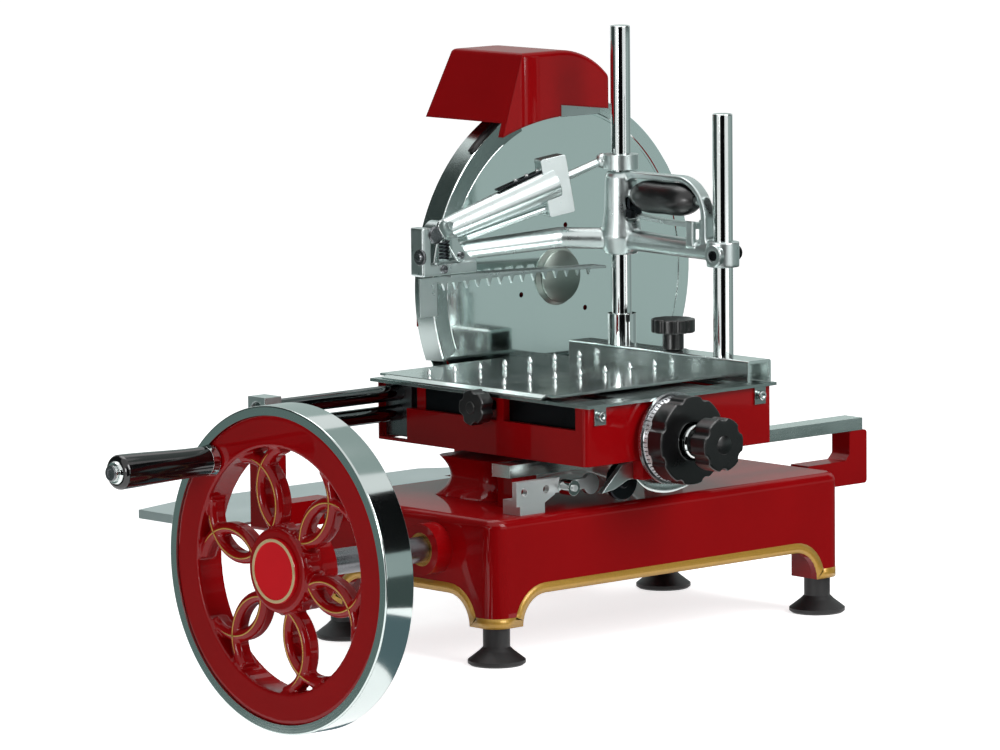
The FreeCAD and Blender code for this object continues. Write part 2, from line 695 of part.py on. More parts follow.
def slide_rods():
    return Part.makeCompound([rod((ROD_LEFT, ROD_Y, z), (1, 0, 0), ROD_RIGHT - ROD_LEFT, ROD_RADIUS)
                              for z in (ROD_LOW, ROD_HIGH)])


def right_rod_stand():
    """The block at the rods' right end and its post on the base."""
    block = rod_block(ROD_RIGHT - BLOCK_LENGTH - 18, ROD_RIGHT - 18, BOX_TOP - 0.5)
    post = box(ROD_RIGHT - BLOCK_LENGTH - 22, ROD_RIGHT - 14, ROD_Y - BLOCK_DEPTH / 2,
               ROD_Y + BLOCK_DEPTH / 2, BASE_TOP, BLOCK_BOTTOM)
    return block, post


def drive_pedestal():
    """Waisted casting under the carriage, with the rest bar's left foot beside it."""
    low = section((-125, -50), (-28, 45), BASE_TOP)
    waist = section((-116, -60), (-20, 36), BASE_TOP + 14)
    high = section((-122, -54), (-25, 42), BOX_BOTTOM - 6)
    body = Part.makeLoft([low, waist, high], True, False)
    foot = box(BAR_LEFT + 4, BAR_LEFT + 30, BAR_FRONT + 2, BAR_FRONT + BAR_DEPTH - 2, BASE_TOP,
               BAR_BOTTOM)
    return Part.makeCompound([body, foot])


def section(xs, ys, z):
    plate = rounded_block(xs[0], xs[1], ys[0], ys[1], z, z + 1, 14)
    for face in plate.Faces:
        if abs(face.CenterOfMass.z - z) < 1e-6:
            return face.OuterWire
    raise ValueError("no flat face")


def feed_bracket():
    """Polished plate with two holes on a small boss, with the roller's link."""
    y = FEED_Y
    x = BRACKET_X
    w = BRACKET_WIDTH
    outline = [(x, y, FEED_LOW), (x + w - 12, y, FEED_LOW), (x + w, y, FEED_LOW + 6),
               (x + w + 6, y, FEED_HIGH), (x, y, FEED_HIGH)]
    plate = prism(outline, (0, FEED_THICK, 0))
    for hole_x in (x + 8, x + w - 9):
        plate = plate.cut(rod((hole_x, y - 1, FEED_HIGH - 8), (0, 1, 0), FEED_THICK + 2, 3.2))
    boss = box(x + 4, x + w - 10, y + 0.5, y + 20, BASE_TOP, FEED_LOW + 4)
    link = box(x + w - 2, FEED_ROLLER_X + 34, y + 1, y + FEED_THICK, FEED_HIGH - 12,
               FEED_HIGH - 4)
    tail = rod((FEED_ROLLER_X + 30, y + 1, FEED_HIGH - 9), (0, 1, 0), FEED_THICK - 1, 8)
    tail = tail.cut(rod((FEED_ROLLER_X + 30, y - 1, FEED_HIGH - 9), (0, 1, 0), 8, 2.6))
    stud = rod((FEED_ROLLER_X, y + 2, FEED_HIGH - 8), (0, -1, 0), FEED_ROLLER_LENGTH + 3, 2.5)
    return fuse(plate, boss, link, tail, stud)


def feed_roller():
    roller = rod((FEED_ROLLER_X, FEED_Y + 1 - SKIN, FEED_HIGH - 8), (0, -1, 0),
                 FEED_ROLLER_LENGTH, FEED_ROLLER_RADIUS)
    return roller.cut(rod((FEED_ROLLER_X, FEED_Y + 3, FEED_HIGH - 8), (0, -1, 0),
                          FEED_ROLLER_LENGTH + 8, 2.5 + RUN))


def receiving_tray():
    """Sheet tray behind the blade, cut round the gear column, with a turned-down lip."""
    notch_x = BLADE_X - COLUMN_RADIUS - 2
    notch_y = COLUMN_BACK + COVER_THICK + 10
    z = TRAY_TOP - TRAY_SHEET
    outline = [(TRAY_LEFT, TRAY_FRONT, z), (notch_x, TRAY_FRONT, z), (notch_x, notch_y, z),
               (TRAY_RIGHT, notch_y, z), (TRAY_RIGHT, TRAY_BACK - 20, z),
               (TRAY_RIGHT - 30, TRAY_BACK, z), (TRAY_LEFT + 50, TRAY_BACK, z),
               (TRAY_LEFT, TRAY_BACK - 14, z)]
    plate = prism(outline, (0, 0, TRAY_SHEET))
    lip = box(TRAY_LEFT, TRAY_LEFT + TRAY_SHEET, TRAY_FRONT, TRAY_BACK - 14, TRAY_TOP - TRAY_LIP,
              TRAY_TOP)
    ear = box(-60, notch_x, BASE_Y, TRAY_FRONT + 1, z, TRAY_TOP)
    drop = box(-60, notch_x, BASE_Y, BASE_Y + 3, z - 16, z + 1)
    return fuse(plate, lip, ear, drop)


def petal_arm(side):
    """One curved arm of a petal loop, lying along +Y before it is turned."""
    centre_y = PETAL_CENTRE
    centre_z = side * (PETAL_BOW - PETAL_SAG)
    half = ARM_WIDTH / 2
    front = WHEEL_FRONT + RIM_INSET + 2
    back = front + ARM_DEPTH
    inner = PETAL_BOW - half
    outer = PETAL_BOW + half
    c = ARM_ROUND
    pairs = [(inner, front + c), (inner + c, front), (outer - c, front), (outer, front + c),
             (outer, back - c), (outer - c, back), (inner + c, back), (inner, back - c)]
    points = [(x, centre_y + r, centre_z) for r, x in pairs]
    turn = -180.0 if side > 0 else 180.0
    arm = spin(points, (0, centre_y, centre_z), (1, 0, 0), turn)
    return arm


def flywheel_spider():
    front = WHEEL_FRONT + RIM_INSET
    back = WHEEL_BACK - RIM_INSET
    rim = rod((front, 0, 0), (1, 0, 0), back - front, SPIDER_RADIUS)
    rim = rim.cut(rod((front - 1, 0, 0), (1, 0, 0), back - front + 2, RIM_INNER))
    hub = rod((WHEEL_FRONT, 0, 0), (1, 0, 0), WHEEL_WIDTH + HUB_BACK, HUB_RADIUS)
    hub = fillet_where(hub, 3, lambda e: e.BoundBox.XMax < WHEEL_FRONT + 1
                       and e.BoundBox.YLength > HUB_RADIUS)
    arms = []
    for n in range(PETALS):
        for side in (-1, 1):
            arm = petal_arm(side)
            arm.rotate(V(0, 0, 0), V(1, 0, 0), PETAL_TURN + n * 360.0 / PETALS)
            arms.append(arm)
    spider = rim.multiFuse([hub] + arms)
    spider = spider.cut(rod((WHEEL_FRONT - 1, 0, 0), (1, 0, 0), WHEEL_WIDTH * 2, WHEEL_SHAFT))
    lug = rod((WHEEL_FRONT, *handle_spot()), (1, 0, 0), back - WHEEL_FRONT, HANDLE_LUG)
    hole = rod((WHEEL_FRONT - 1, *handle_spot()), (1, 0, 0), 40, PIN_RADIUS)
    spider = spider.fuse(lug).cut(hole)
    spider.translate(V(0, WHEEL_Y, WHEEL_Z))
    return spider


def handle_spot():
    """The crank pin's place from the wheel's axis, seen with +Y to the left."""
    turn = radians(HANDLE_TURN)
    return (-HANDLE_RADIUS * cos(turn), HANDLE_RADIUS * sin(turn))


def flywheel_tyre():
    tyre = rod((WHEEL_FRONT, WHEEL_Y, WHEEL_Z), (1, 0, 0), WHEEL_WIDTH, WHEEL_RADIUS)
    tyre = fillet_where(tyre, 1.2, lambda e: e.BoundBox.YLength > WHEEL_RADIUS)
    return tyre.cut(rod((WHEEL_FRONT - 1, WHEEL_Y, WHEEL_Z), (1, 0, 0), WHEEL_WIDTH + 2,
                        SPIDER_RADIUS))


def hub_cap():
    x = WHEEL_FRONT
    pairs = [(0, 0), (-CAP_HEIGHT, 0), (-CAP_HEIGHT, CAP_RADIUS - CAP_RING - 0.6),
             (-CAP_HEIGHT - 0.6, CAP_RADIUS - CAP_RING), (-CAP_HEIGHT - 0.6, CAP_RADIUS - 0.8),
             (-CAP_HEIGHT, CAP_RADIUS), (0, CAP_RADIUS)]
    points = [(x + a, WHEEL_Y + r, WHEEL_Z) for a, r in pairs]
    return spin(points, (0, WHEEL_Y, WHEEL_Z), (1, 0, 0))


def wheel_shaft():
    step_x = HANGER_X + HANGER_THICK / 2 + 3
    shaft = rod((WHEEL_FRONT + 1, WHEEL_Y, WHEEL_Z), (1, 0, 0), step_x - WHEEL_FRONT - 1, WHEEL_SHAFT)
    end = rod((step_x, WHEEL_Y, WHEEL_Z), (1, 0, 0), BLADE_X - MITRE_RADIUS * 0.75 - step_x, SHAFT_END)
    return fuse(shaft, end)


def cross_shaft():
    step_y = HANGER_Y - HANGER_THICK / 2 - 3
    start = WHEEL_Y + MITRE_RADIUS * 0.75
    end = rod((BLADE_X, start, WHEEL_Z), (0, 1, 0), step_y - start, SHAFT_END)
    shaft = rod((BLADE_X, step_y, WHEEL_Z), (0, 1, 0), GEAR_Y + GEAR_WIDTH + 4 - step_y, CROSS_SHAFT)
    return fuse(shaft, end)


def drive_bevel():
    gear = mitre_gear(SHAFT_END)
    gear.translate(V(BLADE_X, WHEEL_Y, WHEEL_Z))
    return gear


def driven_bevel():
    gear = mitre_gear(SHAFT_END)
    gear.rotate(V(0, 0, 0), V(1, 0, 0), 180.0 / MITRE_TEETH)
    gear.rotate(V(0, 0, 0), V(0, 0, 1), -90)
    gear.translate(V(BLADE_X, WHEEL_Y, WHEEL_Z))
    return gear


def crank_pin():
    y, z = handle_spot()
    y += WHEEL_Y
    z += WHEEL_Z
    reach = GRIP_LENGTH + FERRULE_LENGTH + WASHER_LENGTH + 2 * SKIN
    start = WHEEL_FRONT - reach
    pin = rod((start, y, z), (1, 0, 0), WHEEL_BACK - RIM_INSET - start, PIN_RADIUS)
    return fuse(pin, rod((start - 2, y, z), (1, 0, 0), 2, PIN_RADIUS + 1.5))


def handle_grip():
    y, z = handle_spot()
    y += WHEEL_Y
    z += WHEEL_Z
    x1 = WHEEL_FRONT - SKIN - FERRULE_LENGTH
    x0 = x1 - GRIP_LENGTH
    hole = PIN_RADIUS + RUN
    top = Part.BSplineCurve()
    top.interpolate([V(x0 + 4, y + GRIP_LARGE, z),
                     V(x0 + GRIP_LENGTH * 0.35, y + GRIP_LARGE * 0.95, z),
                     V(x0 + GRIP_LENGTH * 0.7, y + GRIP_SMALL * 1.02, z), V(x1, y + GRIP_SMALL, z)])
    end = Part.Arc(V(x0, y + GRIP_LARGE - 4, z), V(x0 + 1.2, y + GRIP_LARGE - 1.2, z),
                   V(x0 + 4, y + GRIP_LARGE, z)).toShape()
    back = Part.makePolygon([V(x1, y + GRIP_SMALL, z), V(x1, y + hole, z), V(x0, y + hole, z),
                             V(x0, y + GRIP_LARGE - 4, z)])
    outline = Part.Wire([end, top.toShape()] + back.Edges)
    return Part.Face(outline).revolve(V(0, y, z), V(1, 0, 0), 360)


def handle_ferrules():
    y, z = handle_spot()
    y += WHEEL_Y
    z += WHEEL_Z
    x1 = WHEEL_FRONT - SKIN
    x0 = x1 - FERRULE_LENGTH
    collar = cone((x0, y, z), (1, 0, 0), FERRULE_LENGTH, GRIP_SMALL, GRIP_SMALL + 1)
    far = x0 - GRIP_LENGTH - WASHER_LENGTH
    washer = cone((far, y, z), (1, 0, 0), WASHER_LENGTH, WASHER_RADIUS - 1, WASHER_RADIUS)
    hole = rod((far - 5, y, z), (1, 0, 0), x1 - far + 10, PIN_RADIUS + RUN)
    return Part.makeCompound([collar.cut(hole), washer.cut(hole)])


def blade():
    y = BLADE_Y
    t = BLADE_THICK
    g = BLADE_RADIUS - BEVEL_DEPTH
    pairs = [(WHEEL_SHAFT, y), (g - GROOVE, y), (g - GROOVE / 2, y + 0.7), (g + GROOVE / 2, y + 0.7),
             (g + GROOVE, y), (BLADE_RADIUS - 0.6, y + 0.5), (BLADE_RADIUS, y + 0.8), (g, y + t),
             (WHEEL_SHAFT, y + t)]
    disc = spin([(BLADE_X + r, a, BLADE_Z) for r, a in pairs], (BLADE_X, 0, BLADE_Z), (0, 1, 0))
    for n in range(3):
        turn = radians(197 + n * 120)
        spot = (BLADE_X + SCREW_CIRCLE * cos(turn), y - 1, BLADE_Z + SCREW_CIRCLE * sin(turn))
        disc = disc.cut(rod(spot, (0, 1, 0), t + 2, SCREW_HOLE))
    return disc


def blade_flange():
    front = cone((BLADE_X, BLADE_Y - FLANGE_THICK, BLADE_Z), (0, 1, 0), FLANGE_THICK,
                 FLANGE_RADIUS - 3, FLANGE_RADIUS)
    back = rod((BLADE_X, BLADE_Y + BLADE_THICK, BLADE_Z), (0, 1, 0), BACK_FLANGE_THICK,
               BACK_FLANGE_RADIUS)
    hole = rod((BLADE_X, BLADE_Y - 10, BLADE_Z), (0, 1, 0), 40, WHEEL_SHAFT)
    return Part.makeCompound([front.cut(hole), back.cut(hole)])


def blade_shaft():
    start = BLADE_Y - FLANGE_THICK - 1
    return rod((BLADE_X, start, BLADE_Z), (0, 1, 0), COLUMN_BACK + COVER_THICK - 1 - start,
               WHEEL_SHAFT)


def carriage_box():
    outer = rounded_block(BOX_LEFT, BOX_RIGHT, BOX_FRONT, BOX_BACK, BOX_BOTTOM, BOX_TOP, 5)
    inner = box(BOX_LEFT + BOX_WALL, BOX_RIGHT - BOX_WALL, BOX_FRONT + BOX_WALL,
                BOX_BACK - BOX_WALL, BOX_BOTTOM - 1, BOX_TOP + 1)
    shell = outer.cut(inner)
    left = BOX_LEFT - 1
    wall = BOX_LEFT + BOX_WALL + 1
    for y0, y1 in ((WINDOW_RIB_REAR, WINDOW_REAR), (WINDOW_FRONT, WINDOW_RIB_FRONT)):
        shell = shell.cut(box(left, wall, y0, y1, WINDOW_SILL, BOX_TOP + 1))
    half = SADDLE_DEPTH / 2 + 2
    shell = shell.cut(box(left, wall, ROD_Y - half, ROD_Y + half - 1, BLOCK_BOTTOM - 1, BOX_TOP + 1))
    shell = shell.cut(box(left, wall, WINDOW_REAR - 1, ROD_Y, WINDOW_SILL, BOX_TOP + 1))
    right = BOX_RIGHT - BOX_WALL - 1
    shell = shell.cut(box(right, BOX_RIGHT + 1, ROD_Y - half - 6, ROD_Y + half - 1, BOX_BOTTOM - 1,
                          BOX_TOP + 1))
    shell = shell.cut(rod((DIAL_X, BOX_FRONT - 1, DIAL_Z), (0, 1, 0), BOX_WALL + 2, SCREW_RADIUS + RUN))
    cross = box(BOX_LEFT + BOX_WALL, BOX_RIGHT - BOX_WALL, SCREW_BACK - 2, SCREW_BACK + 8,
                ROD_LOW - 13, BOX_TOP)
    cross = cross.cut(rod((DIAL_X, SCREW_BACK - 3, DIAL_Z), (0, 1, 0), 7, SCREW_RADIUS + RUN))
    lug = box(BOX_LEFT + BOX_WALL, BOX_LEFT + BOX_WALL + 8, WINDOW_RIB_FRONT, STAR_Y + 9,
              WINDOW_SILL - 6, BOX_TOP)
    shell = fuse(shell, cross, lug)
    shell = shell.cut(rod((BOX_LEFT - 1, STAR_Y, STAR_Z), (1, 0, 0), 20, STAR_STUD + RUN))
    for x in (GUIDE_LEFT_X, GUIDE_RIGHT_X):
        shell = shell.cut(rod((x, BOX_FRONT + 2, GUIDE_Z), (0, 1, 0), SCREW_BACK + 4 - BOX_FRONT,
                              GUIDE_RADIUS))
    return shell


def drip_plate():
    """Fixed plate on the box, slotted for the table's shoes."""
    plate = box(BOX_LEFT - PLATE_OVER, BOX_RIGHT, BOX_FRONT - PLATE_FRONT_OVER, BOX_BACK + 3,
                BOX_TOP, BOX_TOP + PLATE_THICK)
    for x in (GUIDE_LEFT_X, GUIDE_RIGHT_X):
        plate = plate.cut(box(x - SHOE_HALF - 2, x + SHOE_HALF + 2, SHOE_BACK - SHOE_LENGTH
                              - FEED_TRAVEL - 2, SHOE_BACK + 2, BOX_TOP - 1, BOX_TOP + 4))
    return plate


def carriage_saddle():
    """Block that runs on the two rods and carries the box."""
    y0 = ROD_Y - SADDLE_DEPTH / 2
    y1 = BOX_BACK - BOX_WALL
    block = box(SADDLE_LEFT, SADDLE_RIGHT, y0, y1, BLOCK_BOTTOM, BOX_TOP)
    for z in (ROD_LOW, ROD_HIGH):
        block = block.cut(rod((SADDLE_LEFT - 1, ROD_Y, z), (1, 0, 0), SADDLE_RIGHT - SADDLE_LEFT + 2,
                              ROD_RADIUS + RUN))
    web = box(SADDLE_LEFT + 10, SADDLE_RIGHT - 10, SCREW_BACK + 8, y0, ROD_LOW - 10, ROD_LOW + 14)
    return fuse(block, web)


def plate_clips():
    clips = []
    for x in (-105, 68):
        clip = box(x - 6, x + 6, BOX_FRONT - 1.5, BOX_FRONT, BOX_TOP - 14, BOX_TOP)
        screw = rod((x, BOX_FRONT - 1.5, BOX_TOP - 7), (0, -1, 0), 2.5, 3.2)
        clips.append(fuse(clip, screw))
    return Part.makeCompound(clips)


def roller_pin():
    """Bracket inside the box front that carries the rest roller over the bar."""
    y0 = BAR_FRONT + 4
    z = BAR_BOTTOM + BAR_HEIGHT + ROLLER_RADIUS + SKIN
    pin = rod((ROLLER_X, y0 - 2 * SKIN, z), (0, 1, 0), ROLLER_WIDTH + 4 * SKIN, ROLLER_PIN)
    ear = box(ROLLER_X - 6, ROLLER_X + 6, BOX_FRONT + BOX_WALL, y0 - SKIN, z - 5, z + 8)
    return fuse(ear, pin)


def rest_roller():
    y0 = BAR_FRONT + 4
    z = BAR_BOTTOM + BAR_HEIGHT + ROLLER_RADIUS + SKIN
    roller = rod((ROLLER_X, y0, z), (0, 1, 0), ROLLER_WIDTH, ROLLER_RADIUS)
    return roller.cut(rod((ROLLER_X, y0 - 1, z), (0, 1, 0), ROLLER_WIDTH + 2, ROLLER_PIN + RUN))


def table_guides():
    return Part.makeCompound([rod((x, BOX_FRONT + 2, GUIDE_Z), (0, 1, 0),
                                  SCREW_BACK + 4 - BOX_FRONT, GUIDE_RADIUS)
                              for x in (GUIDE_LEFT_X, GUIDE_RIGHT_X)])


def meat_table():
    low = TABLE_TOP - TABLE_SHEET
    sheet = box(TABLE_LEFT, TABLE_RIGHT, TABLE_FRONT, TABLE_BACK, low, TABLE_TOP)
    lip = prism([(TABLE_LEFT + 1, TABLE_FRONT + 12, TABLE_TOP), (TABLE_LEFT - LIP_OUT, TABLE_FRONT + 12,
                 TABLE_TOP - LIP_DROP), (TABLE_LEFT - LIP_OUT, TABLE_FRONT + 12,
                 TABLE_TOP - LIP_DROP - 1.6), (TABLE_LEFT + 1, TABLE_FRONT + 12, low)],
                (0, TABLE_BACK - TABLE_FRONT - 20, 0))
    return fuse(sheet, lip)


def table_slides():
    """Two shoes below the sheet that run on the guide bars, and the feed nut between them."""
    y1 = SHOE_BACK
    y0 = y1 - SHOE_LENGTH
    low = TABLE_TOP - TABLE_SHEET
    shoes = []
    for x in (GUIDE_LEFT_X, GUIDE_RIGHT_X):
        shoe = box(x - SHOE_HALF, x + SHOE_HALF, y0, y1, GUIDE_Z - SHOE_HALF, low)
        shoe = shoe.cut(rod((x, y0 - 1, GUIDE_Z), (0, 1, 0), y1 - y0 + 2, GUIDE_RADIUS + RUN))
        shoes.append(shoe)
    beam = box(GUIDE_LEFT_X + SHOE_HALF, GUIDE_RIGHT_X - SHOE_HALF, y0 + 10, y1 - 10, GUIDE_Z - 8,
               BOX_TOP - 3)
    nut = box(DIAL_X - 9, DIAL_X + 9, y0 + 10, y1 - 10, DIAL_Z - 9, GUIDE_Z - 8)
    nut = nut.cut(rod((DIAL_X, y0, DIAL_Z), (0, 1, 0), y1 - y0, SCREW_RADIUS + RUN))
    return fuse(shoes[0], shoes[1], beam, nut)


def table_spikes():
    spikes = []
    for n in range(SPIKES):
        for y in (SPIKE_FRONT_Y, SPIKE_BACK_Y):
            x = SPIKE_X + n * SPIKE_STEP
            spikes.append(cone((x, y, TABLE_TOP), (0, 0, 1), SPIKE_HEIGHT, SPIKE_RADIUS, 0.4))
    return Part.makeCompound(spikes)


def end_rail():
    low = BOX_TOP + PLATE_THICK + SKIN
    x0 = TABLE_RIGHT
    outer = box(x0, RAIL_RIGHT, RAIL_FRONT, RAIL_BACK, low, RAIL_TOP)
    outer = fillet_where(outer, 2, lambda e: along(e, (0, 1, 0)) and e.BoundBox.ZMin > RAIL_TOP - 1)
    inner = box(x0 + RAIL_SHEET, RAIL_RIGHT - RAIL_SHEET, RAIL_FRONT - 1, RAIL_BACK + 1, low - 1,
                RAIL_TOP - RAIL_SHEET)
    rail = outer.cut(inner)
    for y in (POST_REAR_Y, POST_FRONT_Y):
        rail = rail.fuse(rod((POST_X, y, low), (0, 0, 1), RAIL_TOP - low - 1, 10.2))
        rail = rail.cut(rod((POST_X, y, low - 1), (0, 0, 1), 30, POST_RADIUS))
    return rail.cut(rod((POST_X, CLAMP_Y, low), (0, 0, 1), 30, 4 + RUN))


def posts():
    low = BOX_TOP + PLATE_THICK + SKIN
    made = []
    for y, top in ((POST_REAR_Y, POST_REAR_TOP), (POST_FRONT_Y, POST_FRONT_TOP)):
        post = rod((POST_X, y, low), (0, 0, 1), top - low, POST_RADIUS)
        made.append(fillet_where(post, 1.0, lambda e: e.BoundBox.ZMin > top - 0.5))
    collar = rod((POST_X, POST_REAR_Y, RAIL_TOP), (0, 0, 1), COLLAR_HEIGHT, COLLAR_RADIUS)
    made.append(collar.cut(rod((POST_X, POST_REAR_Y, RAIL_TOP - 1), (0, 0, 1), 60, POST_RADIUS)))
    return Part.makeCompound(made)


def lobed_disc(start, run, radius, depth, lobes, dip):
    """A knob disc about Y with scalloped gaps between its lobes."""
    disc = rod(start, run, depth, radius)
    for n in range(lobes):
        turn = 2 * pi * (n + 0.5) / lobes
        across = (cos(turn), sin(turn))
        far = radius + dip * 0.9
        if run[1]:
            spot = (start[0] + far * across[0], start[1], start[2] + far * across[1])
        elif run[0]:
            spot = (start[0], start[1] + far * across[0], start[2] + far * across[1])
        else:
            spot = (start[0] + far * across[0], start[1] + far * across[1], start[2])
        ahead = tuple(s - 2 * a for s, a in zip(spot, run))
        disc = disc.cut(rod(ahead, run, depth + 4, dip * 1.6))
    return disc


def dial_ring():
    """Spacer, dark skirt and graduated ring behind the dial."""
    y = BOX_FRONT
    spacer = rod((DIAL_X, y, DIAL_Z), (0, -1, 0), SPACER_THICK, SPACER_RADIUS)
    skirt = rod((DIAL_X, y - SPACER_THICK, DIAL_Z), (0, -1, 0), SKIRT_THICK, SKIRT_RADIUS)
    ring = cone((DIAL_X, y - SPACER_THICK - SKIRT_THICK, DIAL_Z), (0, -1, 0), RING_THICK,
                RING_RADIUS, RING_RADIUS - 1.5)
    ring = fuse(spacer, skirt, ring)
    return ring.cut(rod((DIAL_X, y + 1, DIAL_Z), (0, -1, 0), 30, SCREW_RADIUS + RUN))


def thickness_dial():
    y = DIAL_BACK
    dial = lobed_disc((DIAL_X, y, DIAL_Z), (0, -1, 0), DIAL_RADIUS, DIAL_THICK, 8, 3.2)
    cup = rod((DIAL_X, y - DIAL_THICK + 8, DIAL_Z), (0, -1, 0), DIAL_THICK, DIAL_CUP)
    dial = dial.cut(cup)
    return dial.cut(rod((DIAL_X, y + 1, DIAL_Z), (0, -1, 0), DIAL_THICK + 2, SCREW_RADIUS + RUN))


def feed_knob():
    y = DIAL_BACK - DIAL_THICK
    stem = rod((DIAL_X, y + 6, DIAL_Z), (0, -1, 0), FEED_KNOB_GAP + 6, KNOB_STEM + 2)
    head = lobed_disc((DIAL_X, y - FEED_KNOB_GAP, DIAL_Z), (0, -1, 0), FEED_KNOB_RADIUS,
                      FEED_KNOB_THICK, 6, 3.4)
    knob = fuse(stem, head)
    return knob.cut(rod((DIAL_X, y + 10, DIAL_Z), (0, -1, 0), 20, SCREW_RADIUS))


def lead_screw():
    y0 = DIAL_BACK - DIAL_THICK - 10
    return rod((DIAL_X, y0, DIAL_Z), (0, 1, 0), SCREW_BACK + 2 - y0, SCREW_RADIUS)


def star_knob():
    x = BOX_LEFT - 7
    head = lobed_disc((x, STAR_Y, STAR_Z), (-1, 0, 0), STAR_RADIUS, STAR_THICK, 5, 3.0)
    return fuse(head, rod((x - 2, STAR_Y, STAR_Z), (1, 0, 0), 23, STAR_STUD))


def clamp_knob():
    z = RAIL_TOP + SKIN
    stem = rod((POST_X, CLAMP_Y, z), (0, 0, 1), CLAMP_LIFT, CLAMP_STEM)
    head = lobed_disc((POST_X, CLAMP_Y, z + CLAMP_LIFT), (0, 0, 1), CLAMP_RADIUS, CLAMP_THICK, 10, 1.6)
    stud = rod((POST_X, CLAMP_Y, RAIL_TOP - 12), (0, 0, 1), 14, 4)
    return fuse(stem, head, stud)


def feed_lever():
    """Curved polished lever on the dial shaft's lower side that meets the roller."""
    y = BOX_FRONT + 12
    pivot = (DIAL_X - 16, y, BOX_BOTTOM - 8)
    disc = rod((pivot[0], y, pivot[2]), (0, 1, 0), 6, 10)
    blade_points = [(pivot[0] + 2, y, pivot[2] + 8), (pivot[0] - 20, y, pivot[2] + 4),
                    (pivot[0] - 42, y, pivot[2] - 16), (pivot[0] - 28, y, pivot[2] - 14),
                    (pivot[0] - 14, y, pivot[2] - 8), (pivot[0] + 2, y, pivot[2] - 8)]
    blade_part = prism(blade_points, (0, 5, 0))
    lever = fuse(disc, blade_part)
    return lever.cut(rod((pivot[0], y - 1, pivot[2]), (0, 1, 0), 9, 4 + RUN))


def lever_pin():
    y = BOX_FRONT + 12
    x = DIAL_X - 16
    z = BOX_BOTTOM - 8
    pin = rod((x, BOX_FRONT + 4, z), (0, 1, 0), 18, 4)
    lug = box(x - 9, x + 9, BOX_FRONT + 1, y - SKIN, z - 8, BOX_BOTTOM)
    return fuse(lug, pin)


def press_arm():
    """Cast arm: sleeve on the rear post, eye on the front post, long arm to the end bracket."""
    z = PRESS_ARM_Z
    rear = (POST_X, POST_REAR_Y)
    sleeve_points = [(0, SLEEVE_LOW - 10), (SLEEVE_RADIUS - 1, SLEEVE_LOW - 10),
                     (SLEEVE_RADIUS + 3, SLEEVE_LOW + 4), (SLEEVE_RADIUS, SLEEVE_LOW + 22),
                     (SLEEVE_RADIUS - 1, SLEEVE_HIGH - 4), (SLEEVE_RADIUS - 3, SLEEVE_HIGH),
                     (0, SLEEVE_HIGH)]
    sleeve = spin([(rear[0] + r, rear[1], h) for r, h in sleeve_points], (rear[0], rear[1], 0),
                  (0, 0, 1))
    eye = rod((POST_X, POST_FRONT_Y, z - 14), (0, 0, 1), 20, POST_RADIUS + 5)
    near = bar((POST_X, POST_REAR_Y - 5, z), (POST_X, POST_FRONT_Y + 8, z - 3), PRESS_ARM_RADIUS, 7.5)
    elbow = (POST_X - 36, POST_REAR_Y + 34, z + 1)
    far_end = (END_X + 14, END_Y, z - 5)
    out = bar((POST_X - 4, POST_REAR_Y + 4, z), elbow, PRESS_ARM_RADIUS, PRESS_ARM_RADIUS)
    run = bar(elbow, far_end, PRESS_ARM_RADIUS, 7.5)
    knuckle = ball(elbow, PRESS_ARM_RADIUS)
    end = ball(far_end, 7.5)
    base_z = COMB_Z + 9
    foot = box(END_X - 30, END_X + 22, END_Y - 9, END_Y + 6, base_z, base_z + 9)
    ear = box(END_X - 36, END_X - 27, END_Y - 9, END_Y + 6, base_z, base_z + 39)
    rib = box(END_X + 8, END_X + 22, END_Y - 7, END_Y + 6, base_z, z - 4)
    arm = fuse(sleeve, eye, near, out, knuckle, run, end, foot, ear, rib, grip_bow(),
               comb_pin())
    window = box(POST_X - 6, POST_X + 10, POST_REAR_Y - 30, POST_REAR_Y - 6, LEVER_Z,
                 LEVER_Z + SLEEVE_WINDOW)
    arm = arm.cut(window)
    for y in (POST_REAR_Y, POST_FRONT_Y):
        arm = arm.cut(rod((POST_X, y, RAIL_TOP), (0, 0, 1), POST_REAR_TOP - RAIL_TOP,
                          POST_RADIUS + RUN))
    return arm


def grip_bow():
    """Arched bracket over the grip, its core rod, and the ears that hold the squeeze lever."""
    x = POST_X - BOW_WIDTH / 2
    low = GRIP_Z + GRIP_RADIUS + 1
    top = low + BOW_THICK - 1
    rear = POST_REAR_Y - 8
    leg = BOW_LEG
    outer = Part.makePolygon([V(x, rear, low - 4), V(x, rear, top), V(x, leg + 32, top)])
    bend = Part.Arc(V(x, leg + 32, top), V(x, leg + 4, top - 10),
                    V(x, leg - BOW_THICK, top - 32)).toShape()
    down = Part.makePolygon([V(x, leg - BOW_THICK, top - 32), V(x, leg - BOW_THICK, PRESS_ARM_Z),
                             V(x, leg, PRESS_ARM_Z), V(x, leg, top - 32)])
    inner = Part.Arc(V(x, leg, top - 32), V(x, leg + 7.5, low - 8), V(x, leg + 30, low)).toShape()
    close = Part.makePolygon([V(x, leg + 30, low), V(x, rear - 10, low), V(x, rear, low - 4)])
    edges = outer.Edges + [bend] + down.Edges + [inner] + close.Edges
    bow = Part.Face(Part.Wire(Part.__sortEdges__(edges))).extrude(V(BOW_WIDTH, 0, 0))
    core = rod((POST_X, leg - 2, GRIP_Z), (0, 1, 0), POST_REAR_Y - 10 - leg + 2, GRIP_CORE)
    ears = []
    for ear_x in (POST_X - 9, POST_X + 5):
        ears.append(box(ear_x, ear_x + 4, LEVER_Y - 4, LEVER_Y + 4, PRESS_ARM_Z, LEVER_Z + 4))
    pin = rod((POST_X - 9, LEVER_Y, LEVER_Z), (1, 0, 0), 18, LEVER_PIN)
    return fuse(bow, core, *ears, pin)


